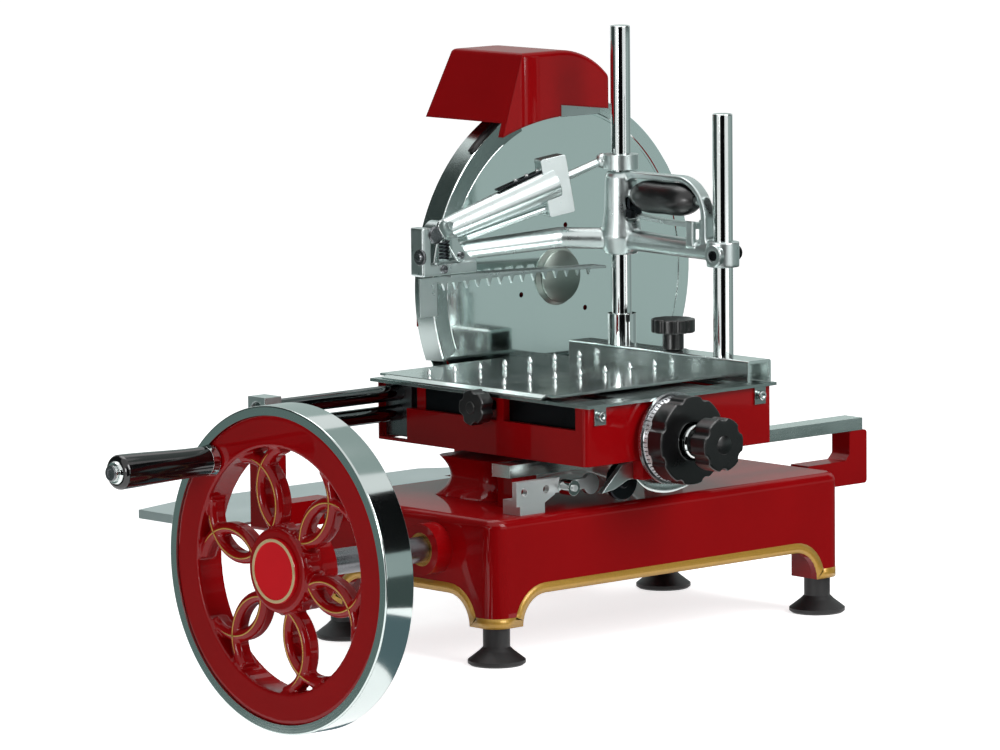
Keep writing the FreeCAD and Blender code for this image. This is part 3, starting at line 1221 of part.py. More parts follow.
def press_strut():
    """Collar on the rear post, slim rod, clamp block and tapered body down to the end bracket."""
    collar = rod((POST_X, POST_REAR_Y, COLLAR_LOW), (0, 0, 1), COLLAR_HIGH - COLLAR_LOW,
                 SLEEVE_RADIUS)
    start = V(POST_X - 6, POST_REAR_Y + 15, COLLAR_HIGH - 6)
    nose = V(END_X - 8, END_Y + 2, COMB_Z + 42)
    line = nose - start
    mid = start + line * 0.30
    lug = ball(tuple(start), 6.0)
    slim = bar(tuple(start), tuple(mid), 3.3, 3.3)
    body = bar(tuple(mid), tuple(nose), STRUT_LARGE, STRUT_SMALL)
    side = V(0, 0, -STRUT_ROD_DROP)
    tube = bar(tuple(mid + side), tuple(start + line * 0.84 + side * 0.7), 2.6, 2.6)
    block = box(-11, 11, -7, 7, -26, 21)
    block = fillet_where(block, 2, lambda e: along(e, (0, 1, 0)))
    turn = degrees(atan2(line.y, line.x)) - 180
    block.rotate(V(0, 0, 0), V(0, 1, 0), -10)
    block.rotate(V(0, 0, 0), V(0, 0, 1), turn)
    block.translate(mid)
    tip = rod((nose.x, END_Y - 9, nose.z), (0, 1, 0), 20, 9.5)
    pin = rod((END_X - 27, END_Y - 1, COMB_Z + 42), (1, 0, 0), 12, 4)
    bore = rod((POST_X, POST_REAR_Y, COLLAR_LOW - 1), (0, 0, 1), COLLAR_HIGH - COLLAR_LOW + 2,
               POST_RADIUS + RUN)
    return fuse(collar, lug, slim, block, body, tube, tip, pin).cut(bore)


def press_comb():
    """Toothed strip under the arm with a small fence at its left end."""
    y = COMB_Y
    step = (COMB_RIGHT - COMB_LEFT) / COMB_TEETH
    points = [(COMB_LEFT, y, COMB_Z + 8), (COMB_LEFT, y, COMB_Z)]
    for n in range(COMB_TEETH):
        x = COMB_LEFT + n * step
        points += [(x + step * 0.30, y, COMB_Z), (x + step * 0.5, y, COMB_Z - COMB_TOOTH),
                   (x + step * 0.70, y, COMB_Z)]
    points += [(COMB_RIGHT, y, COMB_Z), (COMB_RIGHT, y, COMB_Z + 2)]
    strip = prism(points, (0, COMB_SHEET, 0))
    shelf = prism([(COMB_LEFT, y - 14, COMB_Z + 6), (COMB_RIGHT, y - 14, COMB_Z),
                   (COMB_RIGHT, y - 14, COMB_Z + 2), (COMB_LEFT, y - 14, COMB_Z + 8)], (0, 14, 0))
    eye = box(COMB_LEFT - 2, COMB_LEFT + 14, y - 2.5, y, COMB_Z + 2, COMB_Z + 20)
    fence = box(COMB_LEFT - 24, COMB_LEFT - 6, y - 4, y - 2.5, COMB_Z - 25, COMB_Z + 6)
    tie = box(COMB_LEFT - 24, COMB_LEFT + 6, y - 4, y - 2, COMB_Z + 2, COMB_Z + 6)
    comb = fuse(strip, shelf, eye, fence, tie)
    return comb.cut(rod((COMB_LEFT + 5, y - 8, COMB_Z + 13), (0, 1, 0), 20, 3 + RUN))


def comb_pin():
    y = END_Y + 6
    head = rod((COMB_LEFT + 5, COMB_Y + SKIN, COMB_Z + 13), (0, 1, 0), 2, 4.5)
    return fuse(rod((COMB_LEFT + 5, y - 3, COMB_Z + 13), (0, 1, 0), COMB_Y - y + 4, 3), head)


def press_grip():
    """Black oval grip along Y inside the arched bracket."""
    x = POST_X
    z = GRIP_Z
    top = Part.BSplineCurve()
    middle = (GRIP_REAR + GRIP_FRONT) / 2
    r = GRIP_RADIUS
    top.interpolate([V(x, GRIP_REAR, z + 6), V(x, GRIP_REAR - 8, z + r * 0.85), V(x, middle, z + r),
                     V(x, GRIP_FRONT + 8, z + r * 0.85), V(x, GRIP_FRONT, z + 6)])
    close = Part.makePolygon([V(x, GRIP_FRONT, z + 6), V(x, GRIP_FRONT, z), V(x, GRIP_REAR, z),
                              V(x, GRIP_REAR, z + 6)])
    grip = Part.Face(Part.Wire([top.toShape()] + close.Edges)).revolve(V(x, 0, z), V(0, 1, 0), 360)
    return grip.cut(rod((x, GRIP_FRONT - 5, z), (0, 1, 0), 100, GRIP_CORE))


def squeeze_lever():
    """Slim lever under the grip, pivoted by the front eye."""
    x = POST_X - 4.5
    z = LEVER_Z
    points = [(x, LEVER_Y - 4, z - 2.2), (x, LEVER_Y - 4, z + 2.4), (x, -26, z + 2.4),
              (x, POST_REAR_Y - 19, z + 5), (x, POST_REAR_Y - 19, z + 2.4), (x, -26, z - 0.6)]
    lever = prism(points, (9, 0, 0))
    return lever.cut(rod((x - 1, LEVER_Y, z), (1, 0, 0), 12, LEVER_PIN + RUN))


BUILDERS = {
    "base_casting": base_casting,
    "rubber_feet": rubber_feet,
    "gear_column": gear_column,
    "gear_cover": gear_cover,
    "shaft_bushes": shaft_bushes,
    "idler_stud": idler_stud,
    "blade_guard": blade_guard,
    "sharpener_hood": sharpener_hood,
    "sharpener_body": sharpener_body,
    "left_bracket": lambda: end_bracket(-1, ROD_Y - BRACKET_DEPTH / 2, BLOCK_BOTTOM),
    "right_bracket": lambda: end_bracket(1, BAR_FRONT, BAR_BOTTOM),
    "slide_rods": slide_rods,
    "rest_bar": lambda: box(BAR_LEFT, BAR_RIGHT, BAR_FRONT, BAR_FRONT + BAR_DEPTH, BAR_BOTTOM,
                            BAR_BOTTOM + BAR_HEIGHT),
    "rod_blocks": lambda: Part.makeCompound([rod_block(ROD_LEFT - 2, ROD_LEFT - 2 + BLOCK_LENGTH,
                                                       BLOCK_TOP),
                                             *right_rod_stand()]),
    "drive_pedestal": drive_pedestal,
    "feed_bracket": feed_bracket,
    "feed_roller": feed_roller,
    "receiving_tray": receiving_tray,
    "flywheel_spider": flywheel_spider,
    "flywheel_tyre": flywheel_tyre,
    "hub_cap": hub_cap,
    "wheel_shaft": wheel_shaft,
    "drive_bevel": drive_bevel,
    "crank_pin": crank_pin,
    "handle_grip": handle_grip,
    "handle_ferrules": handle_ferrules,
    "cross_shaft": cross_shaft,
    "driven_bevel": driven_bevel,
    "lower_gear": lambda: spur_gear(LOWER_TEETH, GEAR_Y, WHEEL_Z, CROSS_SHAFT, pi / 2),
    "idler_gear": lambda: spur_gear(IDLER_TEETH, GEAR_Y, IDLER_Z, CROSS_SHAFT + RUN,
                                    pi / 2 + pi / IDLER_TEETH),
    "blade": blade,
    "blade_flange": blade_flange,
    "blade_shaft": blade_shaft,
    "blade_gear": lambda: spur_gear(BLADE_TEETH, GEAR_Y, BLADE_Z, WHEEL_SHAFT, -pi / 2),
    "grinding_stones": grinding_stones,
    "carriage_box": carriage_box,
    "drip_plate": drip_plate,
    "carriage_saddle": carriage_saddle,
    "plate_clips": plate_clips,
    "dial_ring": dial_ring,
    "table_guides": table_guides,
    "roller_bracket": roller_pin,
    "lever_bracket": lever_pin,
    "rest_roller": rest_roller,
    "meat_table": meat_table,
    "table_slides": table_slides,
    "table_spikes": table_spikes,
    "end_rail": end_rail,
    "posts": posts,
    "thickness_dial": thickness_dial,
    "feed_knob": feed_knob,
    "lead_screw": lead_screw,
    "star_knob": star_knob,
    "clamp_knob": clamp_knob,
    "feed_lever": feed_lever,
    "press_arm": press_arm,
    "press_strut": press_strut,
    "press_comb": press_comb,
    "press_grip": press_grip,
    "squeeze_lever": squeeze_lever,
}


def main():
    os.makedirs("parts", exist_ok=True)
    for name, build in BUILDERS.items():
        shape = build()
        shape.exportStep("parts/" + name + ".step")
        bounds = shape.BoundBox
        print(name, len(shape.Solids), shape.isValid(), round(shape.Volume, 1),
              [round(v) for v in (bounds.XMin, bounds.XMax, bounds.YMin, bounds.YMax,
                                  bounds.ZMin, bounds.ZMax)])


main()
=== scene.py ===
"""Looks of a hand crank meat slicer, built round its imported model."""

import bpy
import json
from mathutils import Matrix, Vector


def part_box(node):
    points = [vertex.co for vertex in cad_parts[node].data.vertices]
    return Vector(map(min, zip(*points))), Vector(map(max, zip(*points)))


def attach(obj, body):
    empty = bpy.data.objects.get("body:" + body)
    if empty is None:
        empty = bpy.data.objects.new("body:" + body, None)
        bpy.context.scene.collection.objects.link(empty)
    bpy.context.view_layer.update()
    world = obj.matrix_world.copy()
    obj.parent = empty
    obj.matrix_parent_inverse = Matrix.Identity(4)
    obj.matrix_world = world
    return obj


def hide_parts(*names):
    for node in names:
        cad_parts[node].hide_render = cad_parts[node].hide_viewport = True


bl_info = {
    "name": "Hand crank slicer looks",
    "version": (1, 0, 0),
    "blender": (4, 5, 0),
    "location": "View3D > Sidebar > Slicer",
    "description": "Finishes, trim and small fittings of a flywheel meat slicer",
    "category": "Object",
}

import json
from math import cos, pi, radians, sin

import bmesh
import bpy
from mathutils import Matrix, Vector

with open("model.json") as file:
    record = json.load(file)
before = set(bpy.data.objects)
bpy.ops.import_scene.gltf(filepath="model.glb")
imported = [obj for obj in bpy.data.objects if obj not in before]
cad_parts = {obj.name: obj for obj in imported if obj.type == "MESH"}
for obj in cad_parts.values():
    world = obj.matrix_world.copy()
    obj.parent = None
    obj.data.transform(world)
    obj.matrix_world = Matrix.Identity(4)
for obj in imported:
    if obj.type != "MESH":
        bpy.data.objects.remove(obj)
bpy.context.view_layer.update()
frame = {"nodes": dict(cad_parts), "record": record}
NODES = frame["nodes"]
MM = 0.001

# Places that several pieces share, in millimetres
WHEEL = Vector((-351.0, -35.4, 86.7))
BLADE = Vector((89.0, 0.0, 262.9))
DIAL = Vector((-33.0, 0.0, 166.0))


def at(x, y, z):
    """A place given in millimetres, in metres."""
    return Vector((x, y, z)) * MM


def linear(code):
    """An sRGB hex colour as linear red, green and blue."""
    parts = [int(code[n:n + 2], 16) / 255 for n in (0, 2, 4)]
    return tuple(p / 12.92 if p <= 0.04045 else ((p + 0.055) / 1.055) ** 2.4 for p in parts)


def length(name, words, default):
    """A size that a user may change."""
    return bpy.props.FloatProperty(name=name, description=words, default=default, unit="LENGTH",
                                   precision=5)


def colour(name, words, code):
    """A colour that a user may change, from its hex value."""
    return bpy.props.FloatVectorProperty(name=name, description=words, default=linear(code),
                                         subtype="COLOR", min=0.0, max=1.0)


class SlicerColours(bpy.types.PropertyGroup):
    enamel: colour("Enamel", "Red of the castings and the flywheel", "900207")
    lining: colour("Lining", "Gold of the painted band and lines", "B98F37")
    cap: colour("Hub cap", "Brighter red of the hub cap", "D0101D")
    cap_edge: colour("Cap edge", "Pale gold ring on the hub cap", "CDB98A")
    knob: colour("Knobs", "Black of the knobs and grips", "0B0B0C")
    rubber: colour("Feet", "Black of the rubber feet", "101011")
    floor: colour("Floor", "Pale floor round the machine", "F4F4F4")


class SlicerSizes(bpy.types.PropertyGroup):
    band: length("Band width", "Width of the gold band on the base", 8.0 * MM)
    stripe: length("Line width", "Width of the gold lines on the wheel", 1.0 * MM)
    spike: length("Spike height", "Height of the table's spikes", 8.0 * MM)
    cast_round: length("Casting rounding", "How soft the edges of the castings are", 1.2 * MM)
    sheet_round: length("Sheet rounding", "How soft the edges of sheet and turned parts are", 0.4 * MM)


def colours():
    return bpy.context.scene.slicer_colours


def sizes():
    return bpy.context.scene.slicer_sizes


# Finishes

def add(tree, kind, settings=None, **inputs):
    """Adds a node with its settings, and values or links for its inputs."""
    made = tree.nodes.new(kind)
    for key, value in (settings or {}).items():
        setattr(made, key, value)
    for key, value in inputs.items():
        socket = made.inputs[int(key[1:])] if key[0] == "_" else made.inputs[key.replace("_", " ")]
        if isinstance(value, bpy.types.NodeSocket):
            tree.links.new(value, socket)
        else:
            socket.default_value = value
    return made


def new_finish(name):
    """An empty material with its output, ready for a shader."""
    made = bpy.data.materials.get(name)
    if made:
        bpy.data.materials.remove(made)
    made = bpy.data.materials.new(name)
    made.use_nodes = True
    made.node_tree.nodes.clear()
    return made, made.node_tree


def close_finish(tree, **inputs):
    """Ends a finish with its shader and output."""
    shader = add(tree, "ShaderNodeBsdfPrincipled", **inputs)
    add(tree, "ShaderNodeOutputMaterial", Surface=shader.outputs["BSDF"])


def stoved_enamel(name, tint, edge):
    # Enamel sprayed on cast iron and baked: deep colour under a clear gloss, with a faint
    # orange peel about 4 mm across and slightly darker colour where the coat pooled.
    made, tree = new_finish(name)
    spot = add(tree, "ShaderNodeTexCoord").outputs["Object"]
    pool = add(tree, "ShaderNodeTexNoise", Vector=spot, Scale=14.0, Detail=3.0)
    shade = add(tree, "ShaderNodeMix", {"data_type": "RGBA"}, _0=pool.outputs["Fac"],
                _6=(*[c * 0.82 for c in tint], 1), _7=(*[min(1, c * 1.12) for c in tint], 1))
    peel = add(tree, "ShaderNodeTexNoise", Vector=spot, Scale=250.0, Detail=1.0)
    soft = add(tree, "ShaderNodeBevel", {"samples": 4}, Radius=edge)
    bump = add(tree, "ShaderNodeBump", Strength=0.05, Distance=0.0004, Height=peel.outputs["Fac"],
               Normal=soft.outputs["Normal"])
    close_finish(tree, Base_Color=shade.outputs[2], Roughness=0.45, Specular_IOR_Level=0.04, Coat_Weight=0.48,
                 Coat_Roughness=0.03, IOR=1.5, Normal=bump.outputs["Normal"])
    return made


def lining_paint(name, tint):
    # Bronze powder in varnish, laid on with a brush: satin gold with fine mottling.
    made, tree = new_finish(name)
    spot = add(tree, "ShaderNodeTexCoord").outputs["Object"]
    mottle = add(tree, "ShaderNodeTexNoise", Vector=spot, Scale=600.0, Detail=2.0)
    shade = add(tree, "ShaderNodeMix", {"data_type": "RGBA"}, _0=mottle.outputs["Fac"],
                _6=(*[c * 0.85 for c in tint], 1), _7=(*[min(1, c * 1.15) for c in tint], 1))
    close_finish(tree, Base_Color=shade.outputs[2], Metallic=0.35, Roughness=0.38, IOR=1.5, Coat_Weight=0.3)
    return made


def moulded_rubber(name, tint):
    # Nitrile rubber moulded in a blasted tool: soft dull black with a fine grain.
    made, tree = new_finish(name)
    spot = add(tree, "ShaderNodeTexCoord").outputs["Object"]
    grain = add(tree, "ShaderNodeTexNoise", Vector=spot, Scale=1800.0, Detail=2.0)
    dust = add(tree, "ShaderNodeTexNoise", Vector=spot, Scale=60.0, Detail=4.0)
    rough = add(tree, "ShaderNodeMapRange", Value=dust.outputs["Fac"], To_Min=0.42, To_Max=0.62)
    bump = add(tree, "ShaderNodeBump", Strength=0.25, Distance=0.0002, Height=grain.outputs["Fac"])
    close_finish(tree, Base_Color=(*tint, 1), Roughness=rough.outputs["Result"], IOR=1.52,
                 Normal=bump.outputs["Normal"])
    return made


def phenolic(name, tint, edge, low, high):
    # Phenolic resin moulded hot: near black with slight flow marks, glossy where it was buffed
    # and satin where it was left as moulded.
    made, tree = new_finish(name)
    spot = add(tree, "ShaderNodeTexCoord").outputs["Object"]
    flow = add(tree, "ShaderNodeTexNoise", Vector=spot, Scale=90.0, Detail=3.0)
    rough = add(tree, "ShaderNodeMapRange", Value=flow.outputs["Fac"], To_Min=low, To_Max=high)
    soft = add(tree, "ShaderNodeBevel", {"samples": 4}, Radius=edge)
    bump = add(tree, "ShaderNodeBump", Strength=0.04, Distance=0.0003, Height=flow.outputs["Fac"],
               Normal=soft.outputs["Normal"])
    close_finish(tree, Base_Color=(*tint, 1), Roughness=rough.outputs["Result"], IOR=1.6, Coat_Weight=0.1,
                 Normal=bump.outputs["Normal"])
    return made


def metal(name, code, low, high, edge, grain, stretch, relief, wear=0.0):
    # A metal with the marks its working left: grain is the spacing of the marks in millimetres
    # and stretch how much longer they are along each axis.
    made, tree = new_finish(name)
    spot = add(tree, "ShaderNodeTexCoord").outputs["Object"]
    run = add(tree, "ShaderNodeVectorMath", {"operation": "MULTIPLY"}, _0=spot,
              _1=tuple(1000.0 / grain / s for s in stretch))
    marks = add(tree, "ShaderNodeTexNoise", Vector=run.outputs["Vector"], Scale=1.0, Detail=3.0)
    cloud = add(tree, "ShaderNodeTexNoise", Vector=spot, Scale=22.0, Detail=4.0)
    both = add(tree, "ShaderNodeMath", {"operation": "ADD"}, _0=marks.outputs["Fac"], _1=cloud.outputs["Fac"])
    rough = add(tree, "ShaderNodeMapRange", Value=both.outputs["Value"], From_Min=0.7, From_Max=1.3,
                To_Min=low, To_Max=high)
    base = linear(code)
    tint = add(tree, "ShaderNodeMix", {"data_type": "RGBA"}, _0=cloud.outputs["Fac"],
               _6=(*[c * (0.92 - wear) for c in base], 1), _7=(*base, 1))
    soft = add(tree, "ShaderNodeBevel", {"samples": 4}, Radius=edge)
    bump = add(tree, "ShaderNodeBump", Strength=relief, Distance=0.0002, Height=marks.outputs["Fac"],
               Normal=soft.outputs["Normal"])
    close_finish(tree, Base_Color=tint.outputs[2], Metallic=1.0, Roughness=rough.outputs["Result"],
                 Normal=bump.outputs["Normal"])
    return made


def ground_disc(name, code, centre, axis, low, high, pitch, relief):
    # Steel ground and polished while it turns: fine rings round its axis.
    made, tree = new_finish(name)
    spot = add(tree, "ShaderNodeTexCoord").outputs["Object"]
    away = add(tree, "ShaderNodeVectorMath", {"operation": "SUBTRACT"}, _0=spot, _1=centre)
    flat = add(tree, "ShaderNodeVectorMath", {"operation": "MULTIPLY"}, _0=away.outputs["Vector"],
               _1=tuple(1.0 - abs(a) for a in axis))
    far = add(tree, "ShaderNodeVectorMath", {"operation": "LENGTH"}, _0=flat.outputs["Vector"])
    scaled = add(tree, "ShaderNodeMath", {"operation": "MULTIPLY"}, _0=far.outputs["Value"],
                 _1=1000.0 / pitch)
    rings = add(tree, "ShaderNodeTexNoise", {"noise_dimensions": "1D"}, W=scaled.outputs["Value"], Scale=1.0,
                Detail=2.0)
    cloud = add(tree, "ShaderNodeTexNoise", Vector=spot, Scale=12.0, Detail=3.0)
    both = add(tree, "ShaderNodeMath", {"operation": "ADD"}, _0=rings.outputs["Fac"], _1=cloud.outputs["Fac"])
    rough = add(tree, "ShaderNodeMapRange", Value=both.outputs["Value"], From_Min=0.7, From_Max=1.3,
                To_Min=low, To_Max=high)
    bump = add(tree, "ShaderNodeBump", Strength=relief, Distance=0.0001, Height=rings.outputs["Fac"])
    close_finish(tree, Base_Color=(*linear(code), 1), Metallic=1.0, Roughness=rough.outputs["Result"],
                 Normal=bump.outputs["Normal"])
    return made


def alumina_stone(name):
    # Alumina grit in a vitrified bond: pale grey with 0.4 mm grains.
    made, tree = new_finish(name)
    spot = add(tree, "ShaderNodeTexCoord").outputs["Object"]
    grit = add(tree, "ShaderNodeTexVoronoi", Vector=spot, Scale=2500.0)
    shade = add(tree, "ShaderNodeMix", {"data_type": "RGBA"}, _0=grit.outputs["Distance"],
                _6=(*linear("6E6A64"), 1), _7=(*linear("A39D93"), 1))
    bump = add(tree, "ShaderNodeBump", Strength=0.4, Distance=0.0003, Height=grit.outputs["Distance"])
    close_finish(tree, Base_Color=shade.outputs[2], Roughness=0.85, Normal=bump.outputs["Normal"])
    return made


FINISHES = {}


def make_finishes():
    tint = colours()
    cast = sizes().cast_round
    thin = sizes().sheet_round
    wheel_axis = tuple(at(0, WHEEL.y, WHEEL.z))
    blade_axis = tuple(BLADE * MM)
    FINISHES.update({
        "red_enamel": stoved_enamel("stoved_enamel_red", tuple(tint.enamel), cast),
        "cap_enamel": stoved_enamel("stoved_enamel_cap", tuple(tint.cap), cast),
        "black_rubber": moulded_rubber("nitrile_rubber", tuple(tint.rubber)),
        "black_plastic": phenolic("moulded_phenolic", tuple(tint.knob), thin * 1.5, 0.24, 0.36),
        "black_gloss": phenolic("buffed_phenolic", tuple(tint.knob), thin * 1.5, 0.05, 0.12),
        "gold": lining_paint("gold_lining_paint", tuple(tint.lining)),
        "cap_edge": lining_paint("pale_gold_ring", tuple(tint.cap_edge)),
        # Enamel over a casting whose edges were rounded by hand before it was sprayed.
        "hood_enamel": stoved_enamel("stoved_enamel_hood", tuple(tint.enamel), cast * 3),
        # Stainless sheet polished for food, then dulled by use: a pale soft mirror.
        "table_sheet": metal("polished_stainless_table", "F0F8F6", 0.14, 0.24, thin, 0.5, (60, 1, 1), 0.03),
        # Steel faced in a lathe and left satin: an even pale grey.
        "satin_hub": metal("faced_steel_hub", "A4AFA8", 0.30, 0.40, thin, 0.4, (1, 1, 1), 0.03),
        # Hard chrome over polished steel: a mirror with the faintest bloom.
        "chrome_plate": metal("hard_chrome", "DCE2E1", 0.03, 0.09, thin, 0.8, (1, 1, 1), 0.01),
        # Stainless sheet brushed along the machine: long fine lines about 0.5 mm apart.
        "brushed_sheet": metal("brushed_stainless", "B4C0BE", 0.18, 0.28, thin, 0.5, (60, 1, 1), 0.015),
        # Steel ground flat while it turned: a clean mirror crossed by fine rings.
        "blade_steel": ground_disc("ground_blade_steel", "E2EDEB", blade_axis, (0, 1, 0), 0.06, 0.12, 0.5,
                                   0.02),
        "tyre_steel": ground_disc("polished_tyre", "C8D2D0", wheel_axis, (1, 0, 0), 0.06, 0.12, 0.7, 0.02),
        # Aluminium cast in sand, fettled and buffed: bright with soft 6 mm unevenness.
        "cast_aluminium": metal("buffed_cast_aluminium", "D2DCDB", 0.26, 0.36, cast * 0.6, 6.0, (1, 1, 1),
                                0.04),
        # Aluminium sheet, etched and anodised: even satin grey.
        "tray_aluminium": metal("anodised_aluminium", "CDD6D7", 0.32, 0.42, thin, 0.6, (1, 1, 1), 0.06),
        # Round bar ground and oiled: a dark mirror that shows the dark side of the room.
        "rod_steel": metal("ground_rod_steel", "6A7070", 0.05, 0.10, thin, 0.4, (60, 1, 1), 0.01),
        # Pale rough metal casting, lighter than the cast aluminium: painted light that lifts a bracket
        # sitting in the carriage's shadow; soft, with no clear picture in it.
        "shade_lifted_metal": metal("shade_lifted_pale_metal", "E6EAEA", 0.36, 0.46, thin, 1.5, (1, 1, 1), 0.04),
        # Machined steel under an oil film: darker, with turning marks.
        "gear_steel": metal("oiled_machined_steel", "7F8184", 0.22, 0.36, thin, 0.4, (1, 6, 1), 0.08, 0.1),
        "bronze_bush": metal("turned_bronze", "B98A4A", 0.2, 0.32, thin, 0.4, (1, 1, 1), 0.05, 0.1),
        "ring_steel": metal("satin_steel_ring", "BFC1C3", 0.22, 0.32, thin, 0.4, (1, 1, 1), 0.04),
        # Steel blackened in hot salts and oiled: nearly black with a faint sheen.
        "black_steel": metal("blackened_steel", "24272A", 0.25, 0.40, thin, 0.5, (1, 1, 1), 0.06),
        "stone_grey": alumina_stone("alumina_stone"),
    })


SLOTS = {row["node"]: row["material_slot"] for row in frame["record"]["subparts"]}


def dress(*names, finish=None):
    """Gives CAD nodes their finish."""
    for name in names:
        piece = NODES[name]
        piece.data.materials.clear()
        piece.data.materials.append(FINISHES[finish or SLOTS[name]])


def cast_skin(name, voxel, passes):
    """Softens the joins of a casting or moulding by modifiers, and leaves its own mesh alone."""
    piece = NODES[name]
    skin = piece.modifiers.new("skin", "REMESH")
    skin.mode = "VOXEL"
    skin.voxel_size = voxel
    skin.use_smooth_shade = True
    even = piece.modifiers.new("even", "SMOOTH")
    even.factor = 0.5
    even.iterations = passes


# Meshes

def turned(shape, spot, axis, profile, steps=32, lobe=None):
    """Adds a closed turned form: profile is pairs of radius and height in millimetres."""
    axis = Vector(axis).normalized()
    across = axis.orthogonal().normalized()
    other = axis.cross(across)
    rings = []
    for radius, height in profile:
        centre = Vector(spot) + axis * (height * MM)
        if radius < 1e-6:
            rings.append([shape.verts.new(centre)])
            continue
        ring = []
        for n in range(steps):
            turn = 2 * pi * n / steps
            reach = radius * MM * (lobe(turn, radius) if lobe else 1.0)
            ring.append(shape.verts.new(centre + (across * cos(turn) + other * sin(turn)) * reach))
        rings.append(ring)
    for first, second in zip(rings, rings[1:]):
        for n in range(steps):
            m = (n + 1) % steps
            corners = [first[n % len(first)], first[m % len(first)], second[m % len(second)],
                       second[n % len(second)]]
            unique = []
            for corner in corners:
                if corner not in unique:
                    unique.append(corner)
            if len(unique) > 2:
                shape.faces.new(unique)


def socket_screw(shape, spot, axis, radius, height):
    """Adds a cap screw whose hexagon socket is sunk in its head."""
    across = radius * 0.56

    def six(turn, size):
        if size > across * 1.01:
            return 1.0
        return cos(pi / 6) / cos((turn % (pi / 3)) - pi / 6)

    turned(shape, spot, axis, [(0, -0.6), (radius, -0.6), (radius, height - 0.4), (radius - 0.4, height),
                               (across, height), (across, height * 0.45), (0, height * 0.4)], 24, six)


def ribbon(shape, first, second):
    """Adds a strip of faces between two lines of points."""
    lines = [[shape.verts.new(p) for p in line] for line in (first, second)]
    for n in range(len(first) - 1):
        shape.faces.new((lines[0][n], lines[0][n + 1], lines[1][n + 1], lines[1][n]))


def smooth_line(spots, steps=6):
    """More points along a soft curve through the given ones, in millimetres."""
    spots = [Vector(p) for p in spots]
    ends = [2 * spots[0] - spots[1]] + spots + [2 * spots[-1] - spots[-2]]
    line = []
    for n in range(1, len(ends) - 2):
        a, b, c, d = ends[n - 1:n + 3]
        for k in range(steps):
            t = k / steps
            line.append(0.5 * (2 * b + (c - a) * t + (2 * a - 5 * b + 4 * c - d) * t * t
                               + (3 * b - a - 3 * c + d) * t ** 3))
    return line + [spots[-1]]


def swept(shape, line, radius, steps=12, flat=1.0, up=(0, 0, 1)):
    """Adds a round-ended bar along points in millimetres; flat thins it across the up direction."""
    line = [Vector(p) for p in line]
    count = len(line)
    reach = list(radius) if isinstance(radius, (list, tuple)) else [radius] * count
    runs = [(line[min(n + 1, count - 1)] - line[max(n - 1, 0)]).normalized() for n in range(count)]
    rows = [(line[0] - runs[0] * reach[0] * 0.55, runs[0], reach[0] * 0.55)]
    rows += list(zip(line, runs, reach))
    rows.append((line[-1] + runs[-1] * reach[-1] * 0.55, runs[-1], reach[-1] * 0.55))
    rings = []
    for spot, run, size in rows:
        side = run.cross(Vector(up))
        side = side.normalized() if side.length > 1e-4 else run.orthogonal().normalized()
        over = side.cross(run)
        ring = []
        for k in range(steps):
            turn = 2 * pi * k / steps
            place = spot + side * cos(turn) * size + over * sin(turn) * size * flat
            ring.append(shape.verts.new(place * MM))
        rings.append(ring)
    for first, second in zip(rings, rings[1:]):
        for k in range(steps):
            m = (k + 1) % steps
            shape.faces.new((first[k], first[m], second[m], second[k]))
    shape.faces.new(rings[0])
    shape.faces.new(rings[-1])


def plate(shape, outline, thick):
    """Adds a flat plate: outline holds its corners in millimetres, thick is the way through it."""
    thick = Vector(thick)
    near = [shape.verts.new(Vector(p) * MM) for p in outline]
    far = [shape.verts.new((Vector(p) + thick) * MM) for p in outline]
    shape.faces.new(near)
    shape.faces.new(far)
    count = len(outline)
    for n in range(count):
        m = (n + 1) % count
        shape.faces.new((near[n], near[m], far[m], far[n]))


def link_outline(first, second, r1, r2, plane, steps=10):
    """Outline of a flat link with round ends; plane holds the two directions it lies in."""
    a, b = Vector(first), Vector(second)
    run = (b - a).normalized()
    side = run.cross(Vector(plane)).normalized()
    points = []
    for centre, r, start in ((b, r2, -90), (a, r1, 90)):
        for k in range(steps + 1):
            turn = radians(start + 180 * k / steps)
            points.append(centre + (run * cos(turn) + side * sin(turn)) * r)
    return points


def slab(shape, low, high):
    """Adds a box between two corners in millimetres."""
    spots = [at(x, y, z) for x in (low[0], high[0]) for y in (low[1], high[1]) for z in (low[2], high[2])]
    v = [shape.verts.new(p) for p in spots]
    for a, b, c, d in ((0, 1, 3, 2), (4, 6, 7, 5), (0, 4, 5, 1), (2, 3, 7, 6), (0, 2, 6, 4), (1, 5, 7, 3)):
        shape.faces.new((v[a], v[b], v[c], v[d]))


def piece_of(shape, name, body, finish, thick=0.0, bevel=0.0, sharp=35):
    """Turns a bmesh into a piece that rides on a body; thick gives a sheet its thickness in metres."""
    bmesh.ops.recalc_face_normals(shape, faces=shape.faces)
    mesh = bpy.data.meshes.new(name)
    shape.to_mesh(mesh)
    shape.free()
    mesh.shade_smooth()
    mesh.set_sharp_from_angle(angle=radians(sharp))
    made = bpy.data.objects.new(name, mesh)
    bpy.context.scene.collection.objects.link(made)
    mesh.materials.append(FINISHES[finish])
    if thick:
        layer = made.modifiers.new("thick", "SOLIDIFY")
        layer.thickness = thick
        layer.offset = -1.0
    if bevel:
        soft = made.modifiers.new("soft", "BEVEL")
        soft.width = bevel
        soft.segments = 2
        soft.limit_method = "ANGLE"
        soft.angle_limit = radians(35)
    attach(made, body)
    return made


# Base

HALF_X = 189.5
HALF_Y = 103.5
CORNER = 14.0
LEG = 29.0
LEG_FOOT = 29.2
ARCH_TOP = 53.0
ARCH_STEPS = 8
CORNER_STEPS = 6
BAND_PROUD = 0.25
BAND_LIFT = 0.1
COVER_BACK = 182.0
COVER_SCREWS = ((45, 95), (133, 95), (32, 170), (146, 170), (32, 255), (146, 255), (60, 312), (118, 312))
BRACKET_FACES = ((-198.0, 82.0), (198.0, -65.2))
BRACKET_HEIGHTS = (100.0, 108.0)


